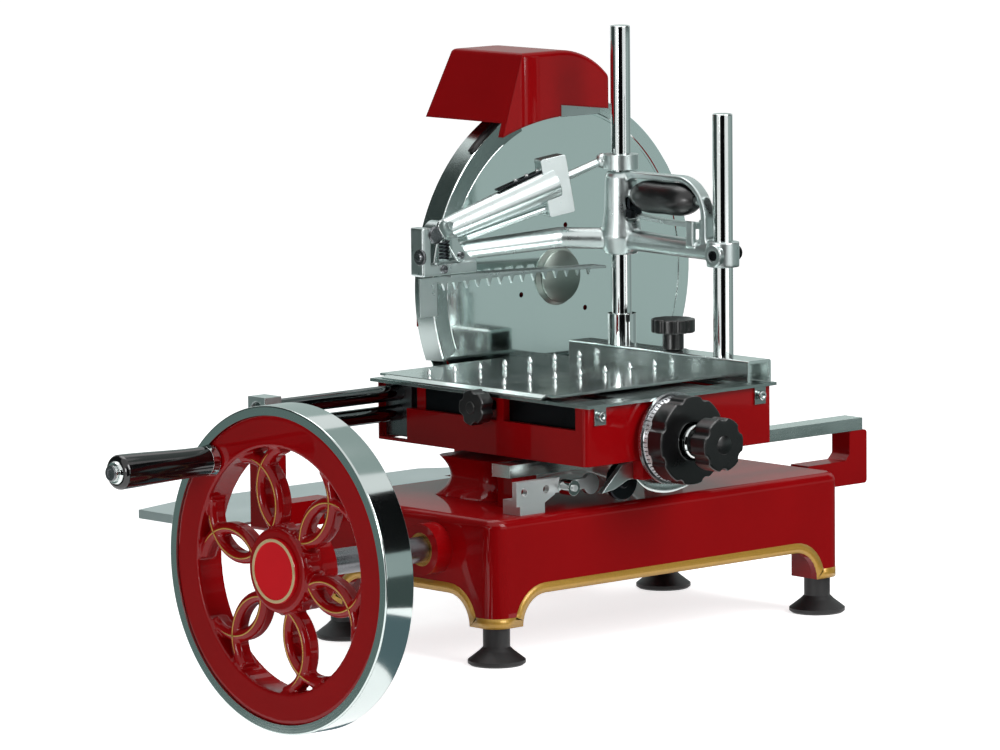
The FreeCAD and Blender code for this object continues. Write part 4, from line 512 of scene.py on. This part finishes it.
def side_profile(half):
    """Lower edge of one side of the base, as pairs of place along the side and height."""
    rise = ARCH_TOP - LEG_FOOT
    low = half - LEG
    pairs = [(-half + CORNER, LEG_FOOT), (-low, LEG_FOOT)]
    for n in range(1, ARCH_STEPS + 1):
        turn = pi / 2 * n / ARCH_STEPS
        pairs.append((-low + rise * (1 - cos(turn)), LEG_FOOT + rise * sin(turn)))
    mirrored = [(-a, z) for a, z in reversed(pairs)]
    return pairs + mirrored


def base_band():
    """The gold band along the lower edge, all round the base."""
    path = []
    place = 0.0
    for turn in range(4):
        half, out = ((HALF_X, HALF_Y), (HALF_Y, HALF_X))[turn % 2]
        along = Vector((cos(turn * pi / 2), sin(turn * pi / 2), 0))
        away = Vector((sin(turn * pi / 2), -cos(turn * pi / 2), 0))
        for a, z in side_profile(half):
            path.append((place + a + half - CORNER, z, along * a + away * out, away))
        place += 2 * (half - CORNER)
        centre = along * (half - CORNER) + away * (out - CORNER)
        for n in range(1, CORNER_STEPS):
            angle = pi / 2 * n / CORNER_STEPS
            facing = away * cos(angle) + along * sin(angle)
            path.append((place + CORNER * angle, LEG_FOOT, centre + facing * CORNER, facing))
        place += CORNER * pi / 2
    total = place
    width = sizes().band / MM
    shape = bmesh.new()
    lower = []
    upper = []
    count = len(path)

    def spot_at(s):
        """Point and facing on the base's side at a place along it."""
        s %= total
        for n in range(count):
            s0 = path[n][0]
            s1 = path[(n + 1) % count][0] + (total if n == count - 1 else 0)
            if s0 <= s <= s1 and s1 > s0:
                f = (s - s0) / (s1 - s0)
                p = path[n][2].lerp(path[(n + 1) % count][2], f)
                q = path[n][3].lerp(path[(n + 1) % count][3], f).normalized()
                return p, q
        return path[-1][2], path[-1][3]

    for n in range(count):
        s, z, spot, facing = path[n]
        before = path[n - 1]
        after = path[(n + 1) % count]
        d0 = Vector((s - before[0] + (total if n == 0 else 0), z - before[1])).normalized()
        d1 = Vector((after[0] - s + (total if n == count - 1 else 0), after[1] - z)).normalized()
        n0 = Vector((-d0.y, d0.x))
        n1 = Vector((-d1.y, d1.x))
        middle = (n0 + n1).normalized()
        reach = width / max(0.5, middle.dot(n0))
        s2 = s + middle.x * reach
        z2 = z + middle.y * reach
        p2, f2 = spot_at(s2)
        lower.append((Vector((spot.x, spot.y, z + BAND_LIFT)) + facing * BAND_PROUD) * MM)
        upper.append((Vector((p2.x, p2.y, z2)) + f2 * BAND_PROUD) * MM)
    lower.append(lower[0])
    upper.append(upper[0])
    ribbon(shape, lower, upper)
    bmesh.ops.remove_doubles(shape, verts=shape.verts, dist=1e-5)
    return piece_of(shape, "base_gold_band", "base", "gold", thick=0.0005)


def casting_screws():
    """Cap screws of the gear cover and of the two end brackets."""
    shape = bmesh.new()
    for x, z in COVER_SCREWS:
        socket_screw(shape, at(x, COVER_BACK, z), (0, 1, 0), 4.0, 3.2)
    for x, y in BRACKET_FACES:
        for z in BRACKET_HEIGHTS:
            socket_screw(shape, at(x, y, z), (0, -1, 0), 2.6, 1.6)
    return piece_of(shape, "casting_screws", "base", "gear_steel")


class BaseLooks(bpy.types.Operator):
    """Finishes the base casting, its feet, brackets and gear column"""

    bl_idname = "slicer.base_looks"
    bl_label = "Base"

    def execute(self, context):
        dress("base_casting", "rubber_feet", "gear_column", "gear_cover", "shaft_bushes", "idler_stud",
              "left_bracket", "right_bracket", "drive_pedestal", "receiving_tray", "feed_roller")
        # The feed bracket gets the paler metal: painted light against the carriage's shadow.
        dress("feed_bracket", finish="shade_lifted_metal")
        base_band()
        casting_screws()
        return {"FINISHED"}


# Flywheel

PETALS = 6
PETAL_TURN = 15
PETAL_CENTRE = 56.5
PETAL_BOW = 33.8
PETAL_SAG = 10.0
LINE_DEPTH = 3.3
LINE_START = -50
LINE_SWEEP = 118
LINE_STEPS = 24


def wheel_stripes():
    """Gold lines along the middle of each curved arm, drawn to a point at both ends."""
    shape = bmesh.new()
    half = sizes().stripe / MM / 2
    for n in range(PETALS):
        petal = radians(PETAL_TURN + n * 360 / PETALS)
        for side in (-1, 1):
            inner = []
            outer = []
            for k in range(LINE_STEPS + 1):
                angle = radians(LINE_START + LINE_SWEEP * k / LINE_STEPS)
                taper = min(1.0, (LINE_STEPS - k) / 4.0 + 0.1, k / 2.0 + 0.3)
                for line, shift in ((inner, -half * taper), (outer, half * taper)):
                    y = PETAL_CENTRE + (PETAL_BOW + shift) * sin(angle)
                    z = side * (PETAL_BOW - PETAL_SAG - (PETAL_BOW + shift) * cos(angle))
                    turned_y = y * cos(petal) - z * sin(petal)
                    turned_z = y * sin(petal) + z * cos(petal)
                    line.append(at(WHEEL.x + LINE_DEPTH, WHEEL.y + turned_y, WHEEL.z + turned_z))
            ribbon(shape, inner, outer)
    return piece_of(shape, "wheel_gold_lines", "flywheel", "gold", thick=0.0008)


def cap_ring():
    """The pale gold ring near the edge of the hub cap."""
    shape = bmesh.new()
    turned(shape, WHEEL * MM, (-1, 0, 0), [(22.2, 2.8), (22.4, 3.3), (24.4, 3.3), (24.6, 2.8), (24.0, 2.2),
                                         (22.8, 2.2), (22.2, 2.8)], 64)
    return piece_of(shape, "cap_gold_ring", "flywheel", "cap_edge")


class WheelLooks(bpy.types.Operator):
    """Finishes the flywheel, its gold lines and its hub cap"""

    bl_idname = "slicer.wheel_looks"
    bl_label = "Flywheel"

    def execute(self, context):
        dress("flywheel_spider", "wheel_shaft", "drive_bevel", "cross_shaft", "driven_bevel", "lower_gear",
              "idler_gear")
        dress("flywheel_tyre", finish="tyre_steel")
        dress("hub_cap", finish="cap_enamel")
        cast_skin("flywheel_spider", 0.0011, 5)
        wheel_stripes()
        cap_ring()
        return {"FINISHED"}


class HandleLooks(bpy.types.Operator):
    """Finishes the turning handle and its end screw"""

    bl_idname = "slicer.handle_looks"
    bl_label = "Handle"

    def execute(self, context):
        dress("handle_ferrules", "crank_pin")
        dress("handle_grip", finish="black_gloss")
        low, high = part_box("crank_pin")
        spot = Vector((low.x, (low.y + high.y) / 2, (low.z + high.z) / 2))
        shape = bmesh.new()
        socket_screw(shape, spot, (-1, 0, 0), 6.0, 1.2)
        piece_of(shape, "handle_end_screw", "flywheel", "gear_steel")
        return {"FINISHED"}


# Blade

GUARD_TURNS = (122, 201)
GUARD_EDGES = ((149.9, 107.1, 0.75), (132.4, 109.6, 0.5))
SEAL_TURNS = (108, 134)
SEAL_REACH = 153.2
SEAL_SIDES = (104.5, 112.0)


def round_blade(reach, y, turns, steps):
    """Points round the blade's axis in millimetres, between two turns in degrees from the right side."""
    first, last = turns
    angles = [radians(first + (last - first) * k / steps) for k in range(steps + 1)]
    return [(BLADE.x + reach * cos(t), y, BLADE.z + reach * sin(t)) for t in angles]


def hub_cover():
    """The faced disc over the blade's flange and the end of its shaft."""
    shape = bmesh.new()
    face = min(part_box("blade_flange")[0].y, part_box("blade_shaft")[0].y)
    spot = Vector((BLADE.x * MM, face, BLADE.z * MM))
    turned(shape, spot, (0, -1, 0), [(0, -2.0), (21.4, -2.0), (21.4, 0.1), (20.6, 0.6), (0, 0.8)], 64)
    return piece_of(shape, "hub_cover", "blade_set", "satin_hub")


def guard_rolled_edges():
    """The rolled beads along the two edges of the guard."""
    shape = bmesh.new()
    for reach, y, radius in GUARD_EDGES:
        swept(shape, round_blade(reach, y, GUARD_TURNS, 60), radius, 8)
    return piece_of(shape, "guard_rolled_edges", "base", "chrome_plate")


def hood_seal():
    """The black strip between the guard and the hood."""
    shape = bmesh.new()
    near, far = [[Vector(q) * MM for q in round_blade(SEAL_REACH, y, SEAL_TURNS, 16)] for y in SEAL_SIDES]
    ribbon(shape, near, far)
    return piece_of(shape, "hood_seal", "base", "black_rubber", thick=0.0018)


class BladeLooks(bpy.types.Operator):
    """Finishes the blade, its guard, the sharpener and its hood"""

    bl_idname = "slicer.blade_looks"
    bl_label = "Blade and guard"

    def execute(self, context):
        dress("blade", "blade_shaft", "blade_gear", "blade_guard", "sharpener_body", "grinding_stones")
        dress("sharpener_hood", finish="hood_enamel")
        dress("blade_flange", finish="satin_hub")
        hub_cover()
        guard_rolled_edges()
        hood_seal()
        return {"FINISHED"}


# Carriage

WALL_OUTSIDE = -113.4
WALL_INSIDE = -112.2
WINDOWS = ((-118, -39), (-11, 70))
WINDOW_FOOT = 152
WINDOW_HEAD = 196
CLIPS = (-105, 68)
RATCHET = Vector((-61.0, -108.0, 133.0))
CRESCENT_FACE = -120.2
CRESCENT = [(-56, -119.8, 137), (-42, -120.4, 128.5), (-22, -120.4, 125), (-2, -120.4, 126.5),
            (18, -120.0, 130.5)]


def window_shade_sheets():
    """Dark sheets behind the two windows in the carriage's left wall: painted shade standing in for the
    shaded inside of the carriage.
    """
    shape = bmesh.new()
    for front, back in WINDOWS:
        slab(shape, (WALL_OUTSIDE, front, WINDOW_FOOT), (WALL_INSIDE, back, WINDOW_HEAD))
    return piece_of(shape, "window_shade_sheets", "carriage", "black_steel")


def clip_screws():
    """The screw of each clip under the table's front edge."""
    shape = bmesh.new()
    for x in CLIPS:
        socket_screw(shape, at(x, -135.2, 189.6), (0, -1, 0), 3.7, 1.4)
    return piece_of(shape, "clip_screws", "carriage", "chrome_plate")


def feed_crescent():
    """The bright crescent under the dial, thick in the middle and pointed at its ends."""
    shape = bmesh.new()
    arc = smooth_line(CRESCENT, 6)
    wide = [1.4 + 3.2 * sin(pi * n / (len(arc) - 1)) for n in range(len(arc))]
    swept(shape, arc, wide, 12, 1.0, (0, 1, 0))
    face = CRESCENT_FACE * MM
    for vert in shape.verts:
        vert.co.y = face + (vert.co.y - face) * 0.28
    return piece_of(shape, "feed_crescent", "carriage", "cast_aluminium")


def feed_ratchet():
    """The black disc of the feed ratchet."""
    shape = bmesh.new()
    turned(shape, RATCHET * MM, (0, -1, 0), [(0, -0.5), (14.5, -0.5), (15.5, 0.5), (15.5, 3.5), (14.5, 4.5),
                                             (6, 4.5), (5, 6.0), (0, 6.0)], 40)
    return piece_of(shape, "feed_ratchet", "carriage", "black_steel")


class CarriageLooks(bpy.types.Operator):
    """Finishes the carriage, the bars it runs on and its small fittings"""

    bl_idname = "slicer.carriage_looks"
    bl_label = "Carriage"

    def execute(self, context):
        dress("rod_blocks", "carriage_box", "drip_plate", "carriage_saddle", "plate_clips", "table_guides",
              "roller_bracket", "lever_bracket", "rest_roller", "feed_lever")
        dress("slide_rods", finish="rod_steel")
        dress("rest_bar", finish="table_sheet")
        # Painted shade fills the two windows.
        window_shade_sheets()
        clip_screws()
        feed_crescent()
        feed_ratchet()
        return {"FINISHED"}


# Meat table

TABLE_TOP = 204.0
SPIKE_ROWS = (-35.0, 52.0)
FIRST_SPIKE = -115.0
SPIKE_STEP = 27.0
SPIKES_IN_ROW = 7


def turned_spikes():
    """The spikes that hold the meat: a waisted foot, a bulge and a point."""
    tall = sizes().spike / MM
    shape = bmesh.new()
    for n in range(SPIKES_IN_ROW):
        for y in SPIKE_ROWS:
            turned(shape, at(FIRST_SPIKE + n * SPIKE_STEP, y, TABLE_TOP), (0, 0, 1),
                   [(0, -0.5), (1.7, -0.5), (1.5, 0.6), (1.0, 1.2), (2.3, 3.4), (2.2, 4.0), (1.0, tall - 1.6),
                    (0, tall)], 20)
    spikes = piece_of(shape, "turned_spikes", "table", "chrome_plate")
    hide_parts("table_spikes")
    return spikes


class TableLooks(bpy.types.Operator):
    """Finishes the meat table, its spikes, end rail and posts"""

    bl_idname = "slicer.table_looks"
    bl_label = "Meat table"

    def execute(self, context):
        dress("table_slides", "table_spikes", "posts")
        dress("meat_table", "end_rail", finish="table_sheet")
        turned_spikes()
        return {"FINISHED"}


# Meat press

END_SCREW = at(-98, 80, 296)
TIP_WASHER = at(-84.5, 77, 313)
STRAP_TOP = (-79, 76.8, 320)
STRAP_FOOT = (-60, 76.8, 295)
SPRING = Vector((-78.0, 74.2, 293.5))
SPRING_TURNS = 5
SPRING_HEIGHT = 14.0
EYE = Vector((57.6, -93.0, 297.5))
POST_CAP = at(80.5, -90, 298)
STRUT_START = Vector((63, 40, 364))
STRUT_RUN = Vector((-133, 48, -51))


def press_screws():
    """Screws and washers where the strut meets the end bracket."""
    shape = bmesh.new()
    turned(shape, END_SCREW, (-1, 0, 0), [(0, -0.5), (6.5, -0.5), (6.5, 1.0), (6.0, 1.5), (3.4, 1.5),
                                          (3.0, 3.0), (0, 3.0)], 28)
    turned(shape, TIP_WASHER, (0, -1, 0), [(0, -0.5), (7.0, -0.5), (7.0, 1.2), (6.4, 1.8), (0, 2.2)], 32)
    socket_screw(shape, at(-76, 77, 285), (0, -1, 0), 3.4, 2.0)
    socket_screw(shape, at(-60, 74.2, 295), (0, -1, 0), 3.0, 1.6)
    return piece_of(shape, "press_screws", "meat_press", "gear_steel")


def press_strap():
    """The flat link from the strut's tip to the end bracket."""
    shape = bmesh.new()
    plate(shape, link_outline(STRAP_TOP, STRAP_FOOT, 4.6, 5.4, (0, 1, 0)), (0, -2.6, 0))
    return piece_of(shape, "press_strap", "meat_press", "chrome_plate", bevel=0.0004)


def press_spring():
    """The open coil spring behind the strap."""
    shape = bmesh.new()
    turns = [2 * pi * n / 14 for n in range(14 * SPRING_TURNS + 1)]
    rise = SPRING_HEIGHT / (2 * pi * SPRING_TURNS)
    coil = [SPRING + Vector((4.6 * cos(t), 2.6 * sin(t), rise * t)) for t in turns]
    swept(shape, coil, 0.9, 8)
    return piece_of(shape, "press_spring", "meat_press", "black_steel")


def sleeve_window_shade():
    """The black block in the sleeve's window: painted shade standing in for the dark inside of the sleeve."""
    shape = bmesh.new()
    slab(shape, (63.6, 9.6, 319.2), (77.4, 12.6, 335.6))
    slab(shape, (60.0, 4.0, 320.5), (64.5, 11.0, 327.0))
    return piece_of(shape, "sleeve_window_shade", "meat_press", "black_steel", bevel=0.0005)


def front_eye():
    """The raised boss of the front eye, its screw and the cap on its far side."""
    shape = bmesh.new()
    turned(shape, EYE * MM, (-1, 0, 0), [(0, -2.0), (9.0, -2.0), (9.0, 1.6), (8.2, 2.6), (5.0, 2.6),
                                         (4.4, 1.2), (0, 1.2)], 36)
    piece_of(shape, "eye_boss", "meat_press", "cast_aluminium")
    shape = bmesh.new()
    socket_screw(shape, at(EYE.x - 1, EYE.y, EYE.z), (-1, 0, 0), 4.0, 1.6)
    turned(shape, POST_CAP, (1, 0, 0), [(0, -1.0), (6.2, -1.0), (6.6, 0.5), (6.6, 4.0), (5.6, 5.6),
                                        (0, 6.4)], 28)
    return piece_of(shape, "eye_screw_and_cap", "meat_press", "black_steel")


def strut_strip():
    """The black strip along the top of the strut's body, with three screws."""
    run = STRUT_RUN.normalized()
    side = run.cross(Vector((0, 0, 1))).normalized()
    over = side.cross(run)
    top = STRUT_START + STRUT_RUN * 0.33 + over * 12.4
    shape = bmesh.new()
    corners = [top + side * a + run * b for a, b in ((-4.5, 0), (4.5, 0), (3.6, 44), (-3.6, 44))]
    plate(shape, corners, over * 1.4)
    piece_of(shape, "strut_strip", "meat_press", "black_steel", bevel=0.0004)
    shape = bmesh.new()
    for b in (6, 16, 26):
        socket_screw(shape, (top + run * b + over * 1.4) * MM, over, 2.0, 1.4)
    return piece_of(shape, "strut_screws", "meat_press", "chrome_plate")


class PressLooks(bpy.types.Operator):
    """Finishes the meat press with its grip and comb"""

    bl_idname = "slicer.press_looks"
    bl_label = "Meat press"

    def execute(self, context):
        dress("press_arm", "press_strut", "press_comb", "squeeze_lever")
        dress("press_grip", finish="black_plastic")
        cast_skin("press_arm", 0.0009, 4)
        press_screws()
        press_strap()
        press_spring()
        # Painted shade in the sleeve's window.
        sleeve_window_shade()
        front_eye()
        strut_strip()
        return {"FINISHED"}


# Knobs

DIVISIONS = 60
RING_RADIUS = 32.6
RING_FACE = -143.2
STAR_FACE = at(-137.8, -20.7, 189)


def ring_marks():
    """The graduations of the dial's ring, every fifth one longer."""
    shape = bmesh.new()
    for n in range(DIVISIONS):
        turn = radians(n * 360 / DIVISIONS)
        deep = 3.4 if n % 5 == 0 else 2.2
        out = Vector((cos(turn), 0, sin(turn)))
        side = Vector((-sin(turn), 0, cos(turn))) * 0.28
        base = DIAL + out * RING_RADIUS + Vector((0, RING_FACE, 0))
        back = DIAL + out * (RING_RADIUS + deep * 0.3) + Vector((0, RING_FACE + deep, 0))
        plate(shape, [base - side, base + side, back + side, back - side], out * 0.35)
    return piece_of(shape, "ring_marks", "carriage", "black_steel")


def dial_collar():
    """The chrome collar between the dial and the feed knob."""
    shape = bmesh.new()
    turned(shape, at(DIAL.x, -153.5, DIAL.z), (0, -1, 0), [(8.7, 0), (13.2, 0), (13.2, 11.5), (12.2, 12.8),
                                                           (9.4, 12.8), (8.7, 12.0), (8.7, 0)], 48)
    return piece_of(shape, "dial_collar", "dial", "chrome_plate")


def knob_caps():
    """The plugs in the faces of the feed knob and the star knob."""
    shape = bmesh.new()
    turned(shape, at(DIAL.x, -195.3, DIAL.z), (0, -1, 0), [(0, -0.6), (7.5, -0.6), (7.5, 0.2), (6.8, 0.7),
                                                           (0, 0.9)], 40)
    piece_of(shape, "feed_knob_cap", "feed_screw", "black_plastic")
    shape = bmesh.new()
    turned(shape, STAR_FACE, (-1, 0, 0), [(0, -0.6), (5.0, -0.6), (5.0, 0.3), (4.4, 0.8), (0, 1.0)], 32)
    return piece_of(shape, "star_knob_cap", "star", "black_plastic")


class KnobLooks(bpy.types.Operator):
    """Finishes the dial, its graduated ring and the black knobs"""

    bl_idname = "slicer.knob_looks"
    bl_label = "Knobs and dial"

    def execute(self, context):
        dress("dial_ring", "thickness_dial", "feed_knob", "lead_screw", "star_knob", "clamp_knob")
        for name in ("thickness_dial", "feed_knob", "star_knob", "clamp_knob"):
            cast_skin(name, 0.0006, 7)
        ring_marks()
        dial_collar()
        knob_caps()
        return {"FINISHED"}


# Stage

BENCH_EDGE = -0.225
FLOOR_DROP = -0.30
FLOOR_REACH = 6.0
FLOOR_GLOW = 0.75
ROOM_LEVEL = 0.26
FLAG_REACH = 1.5
CAMERA_SPOT = (-3.5785, -3.8074, 0.8646)
CAMERA_HEADING = 42.52
CAMERA_DIP = 7.24
CAMERA_ROLL = -0.53
CAMERA_LENS = 239.05
# The flags glow in their tones and show only in gloss: painted reflections in the metal and the enamel.
# Each flag: its name and tone, the compass turns it spans in degrees, and its foot and head in metres.
FLAGS = (("flag_front_right", "A4B2B0", -66, -28, 0.0, 0.36),
         ("flag_front_right_high", "0C0D0E", -66, -12, 0.36, 1.5),
         ("flag_right", "8C9A98", -28, 20, 0.0, 0.5),
         ("flag_back_right", "B4C2BF", 20, 80, 0.02, 1.3),
         ("flag_high_right", "A8B6B3", -30, 32, 1.5, 2.4),
         ("flag_back_left_low", "6C7E7B", 98, 162, -0.28, 0.07),
         ("flag_back_left", "3C4644", 98, 162, 0.07, 2.2),
         ("flag_camera", "0A0A0B", 204, 254, -0.28, 0.9))


def floor_finish(tint):
    # Matt white board: pale, with the machine's shadow on it.
    made, tree = new_finish("white_board")
    path = add(tree, "ShaderNodeLightPath")
    seen = add(tree, "ShaderNodeMath", {"operation": "MAXIMUM"}, _0=path.outputs["Is Camera Ray"],
               _1=path.outputs["Is Glossy Ray"])
    glow = add(tree, "ShaderNodeMath", {"operation": "MULTIPLY"}, _0=seen.outputs["Value"], _1=FLOOR_GLOW)
    close_finish(tree, Base_Color=(*tint, 1), Roughness=0.9, Emission_Color=(1, 1, 1, 1),
                 Emission_Strength=glow.outputs["Value"])
    return made


def painted_reflection_finish(name, tone):
    # A sheet that glows in one tone but is no lamp, seen only in gloss: a painted reflection that bright
    # metal shows beside the white.
    made, tree = new_finish(name)
    close_finish(tree, Base_Color=(0, 0, 0, 1), Roughness=1.0, Specular_IOR_Level=0.0,
                 Emission_Color=(*linear(tone), 1), Emission_Strength=1.0)
    return made


def flag(name, tone, first, last, low, high, near=FLAG_REACH):
    """A curved flag round the machine, from one compass turn to another; near brings its foot closer."""
    turns = [radians(first + (last - first) * n / 12) for n in range(13)]
    ends = ((near, low), (FLAG_REACH, high))
    hang(name, tone, [[Vector((r * cos(t), r * sin(t), z)) for t in turns] for r, z in ends])


def hang(name, tone, lines):
    """A glowing flag between two lines of points, seen in gloss only: a painted reflection."""
    shape = bmesh.new()
    ribbon(shape, *lines)
    mesh = bpy.data.meshes.new(name)
    shape.to_mesh(mesh)
    shape.free()
    mesh.materials.append(painted_reflection_finish(name, tone))
    made = bpy.data.objects.new(name, mesh)
    bpy.context.scene.collection.objects.link(made)
    made.visible_camera = False
    made.visible_diffuse = False
    made.visible_transmission = False
    made.visible_shadow = False


def lamp(name, spot, aim, power, size):
    """A soft box that faces a point on the machine."""
    data = bpy.data.lights.new(name, "AREA")
    data.energy = power
    data.shape = "RECTANGLE"
    data.size = size[0]
    data.size_y = size[1]
    made = bpy.data.objects.new(name, data)
    bpy.context.scene.collection.objects.link(made)
    made.location = spot
    made.rotation_euler = (Vector(aim) - Vector(spot)).to_track_quat("-Z", "Y").to_euler()
    return made


def bench():
    """The pale bench, its rounded edge beside the flywheel, and the floor below."""
    edge = BENCH_EDGE
    drop = FLOOR_DROP
    line = [(FLOOR_REACH, 0.0), (edge + 0.012, 0.0), (edge + 0.0035, -0.0035), (edge, -0.012),
            (edge, drop + 0.05), (edge - 0.015, drop + 0.015), (edge - 0.05, drop), (-FLOOR_REACH, drop)]
    mesh = bpy.data.meshes.new("bench_and_floor")
    verts = [(x, y, z) for y in (-FLOOR_REACH, FLOOR_REACH) for x, z in line]
    count = len(line)
    faces = [(n, n + count, n + count + 1, n + 1) for n in range(count - 1)]
    mesh.from_pydata(verts, [], faces)
    made = bpy.data.objects.new("bench_and_floor", mesh)
    bpy.context.scene.collection.objects.link(made)
    mesh.materials.append(FINISHES["floor"])


def white_room():
    """A world that looks white, and mirrors white, but lights the machine softly."""
    world = bpy.data.worlds.new("studio")
    world.use_nodes = True
    tree = world.node_tree
    tree.nodes.clear()
    path = add(tree, "ShaderNodeLightPath")
    seen = add(tree, "ShaderNodeMath", {"operation": "MAXIMUM"}, _0=path.outputs["Is Camera Ray"],
               _1=path.outputs["Is Transmission Ray"])
    bright = add(tree, "ShaderNodeMath", {"operation": "MAXIMUM"}, _0=seen.outputs["Value"],
                 _1=path.outputs["Is Glossy Ray"])
    power = add(tree, "ShaderNodeMapRange", Value=bright.outputs["Value"], To_Min=ROOM_LEVEL, To_Max=1.0)
    glow = add(tree, "ShaderNodeBackground", Color=(1, 1, 1, 1), Strength=power.outputs["Result"])
    add(tree, "ShaderNodeOutputWorld", Surface=glow.outputs["Background"])
    return world


def flags():
    """The dark and grey glowing shapes that the bright metal mirrors: painted reflections, seen in gloss
    only.
    """
    for row in FLAGS:
        flag(*row)
    # Dark strips before the bench's side and a grey ring on the bench: painted reflections of a darker bench.
    front = BENCH_EDGE - 0.003
    for name, tone, low, high in (("bench_side_teal_reflection", "60757A", -0.10, -0.002),
                                  ("bench_side_dark_reflection", "2A3032", -0.28, -0.15)):
        hang(name, tone, [[Vector((front, y, z)) for y in (-1.5, 0.3)] for z in (low, high)])
    flag("flag_on_bench", "4A5654", -126, 20, 0.004, 0.0041, near=0.27)


def photo_camera():
    """The camera, as far away and as tilted as it was for the photograph."""
    az, el, roll = radians(CAMERA_HEADING), radians(CAMERA_DIP), radians(CAMERA_ROLL)
    ahead = Vector((sin(az) * cos(el), cos(az) * cos(el), -sin(el)))
    right = Vector((cos(az), -sin(az), 0))
    up = right.cross(ahead)
    tilted_right = right * cos(roll) + up * sin(roll)
    tilted_up = up * cos(roll) - right * sin(roll)
    data = bpy.data.cameras.new("photo_camera")
    data.sensor_width = 36.0
    data.lens = CAMERA_LENS
    data.clip_end = 50.0
    camera = bpy.data.objects.new("photo_camera", data)
    bpy.context.scene.collection.objects.link(camera)
    turn = Matrix((tilted_right, tilted_up, -ahead)).transposed().to_4x4()
    camera.matrix_world = Matrix.Translation(CAMERA_SPOT) @ turn
    return camera


class StudioStage(bpy.types.Operator):
    """Sets out the pale floor, the soft lamps and the camera"""

    bl_idname = "slicer.studio_stage"
    bl_label = "Stage"

    def execute(self, context):
        scene = context.scene
        FINISHES["floor"] = floor_finish(tuple(colours().floor))
        bench()
        scene.world = white_room()
        lamp("key_lamp", (0.3, -2.6, 1.9), (0, 0, 0.15), 56, (1.6, 1.6))
        lamp("fill_lamp", (-2.6, -0.7, 0.5), (0, 0, 0.15), 14, (0.6, 0.6))
        lamp("top_lamp", (0.1, 0.6, 2.2), (0, 0, 0.1), 14, (1.6, 1.2))
        flags()
        scene.camera = photo_camera()
        scene.view_settings.view_transform = "Standard"
        return {"FINISHED"}


class SlicerPanel(bpy.types.Panel):
    """Lists the colours and sizes, and a button for each group of pieces"""

    bl_idname = "VIEW3D_PT_slicer"
    bl_label = "Slicer looks"
    bl_space_type = "VIEW_3D"
    bl_region_type = "UI"
    bl_category = "Slicer"

    def draw(self, context):
        layout = self.layout
        for group in (context.scene.slicer_colours, context.scene.slicer_sizes):
            for name in group.bl_rna.properties.keys():
                if name not in ("rna_type", "name"):
                    layout.prop(group, name)
        for operator in OPERATORS:
            layout.operator(operator.bl_idname)


OPERATORS = (BaseLooks, WheelLooks, HandleLooks, BladeLooks, CarriageLooks, TableLooks, PressLooks, KnobLooks,
             StudioStage)
CLASSES = (SlicerColours, SlicerSizes, *OPERATORS, SlicerPanel)


def register():
    for made in CLASSES:
        bpy.utils.register_class(made)
    bpy.types.Scene.slicer_colours = bpy.props.PointerProperty(type=SlicerColours)
    bpy.types.Scene.slicer_sizes = bpy.props.PointerProperty(type=SlicerSizes)


def unregister():
    del bpy.types.Scene.slicer_sizes
    del bpy.types.Scene.slicer_colours
    for made in reversed(CLASSES):
        bpy.utils.unregister_class(made)


def main():
    register()
    make_finishes()
    for operator in OPERATORS:
        group, name = operator.bl_idname.split(".")
        getattr(getattr(bpy.ops, group), name)()


if __name__ == "__main__":
    main()
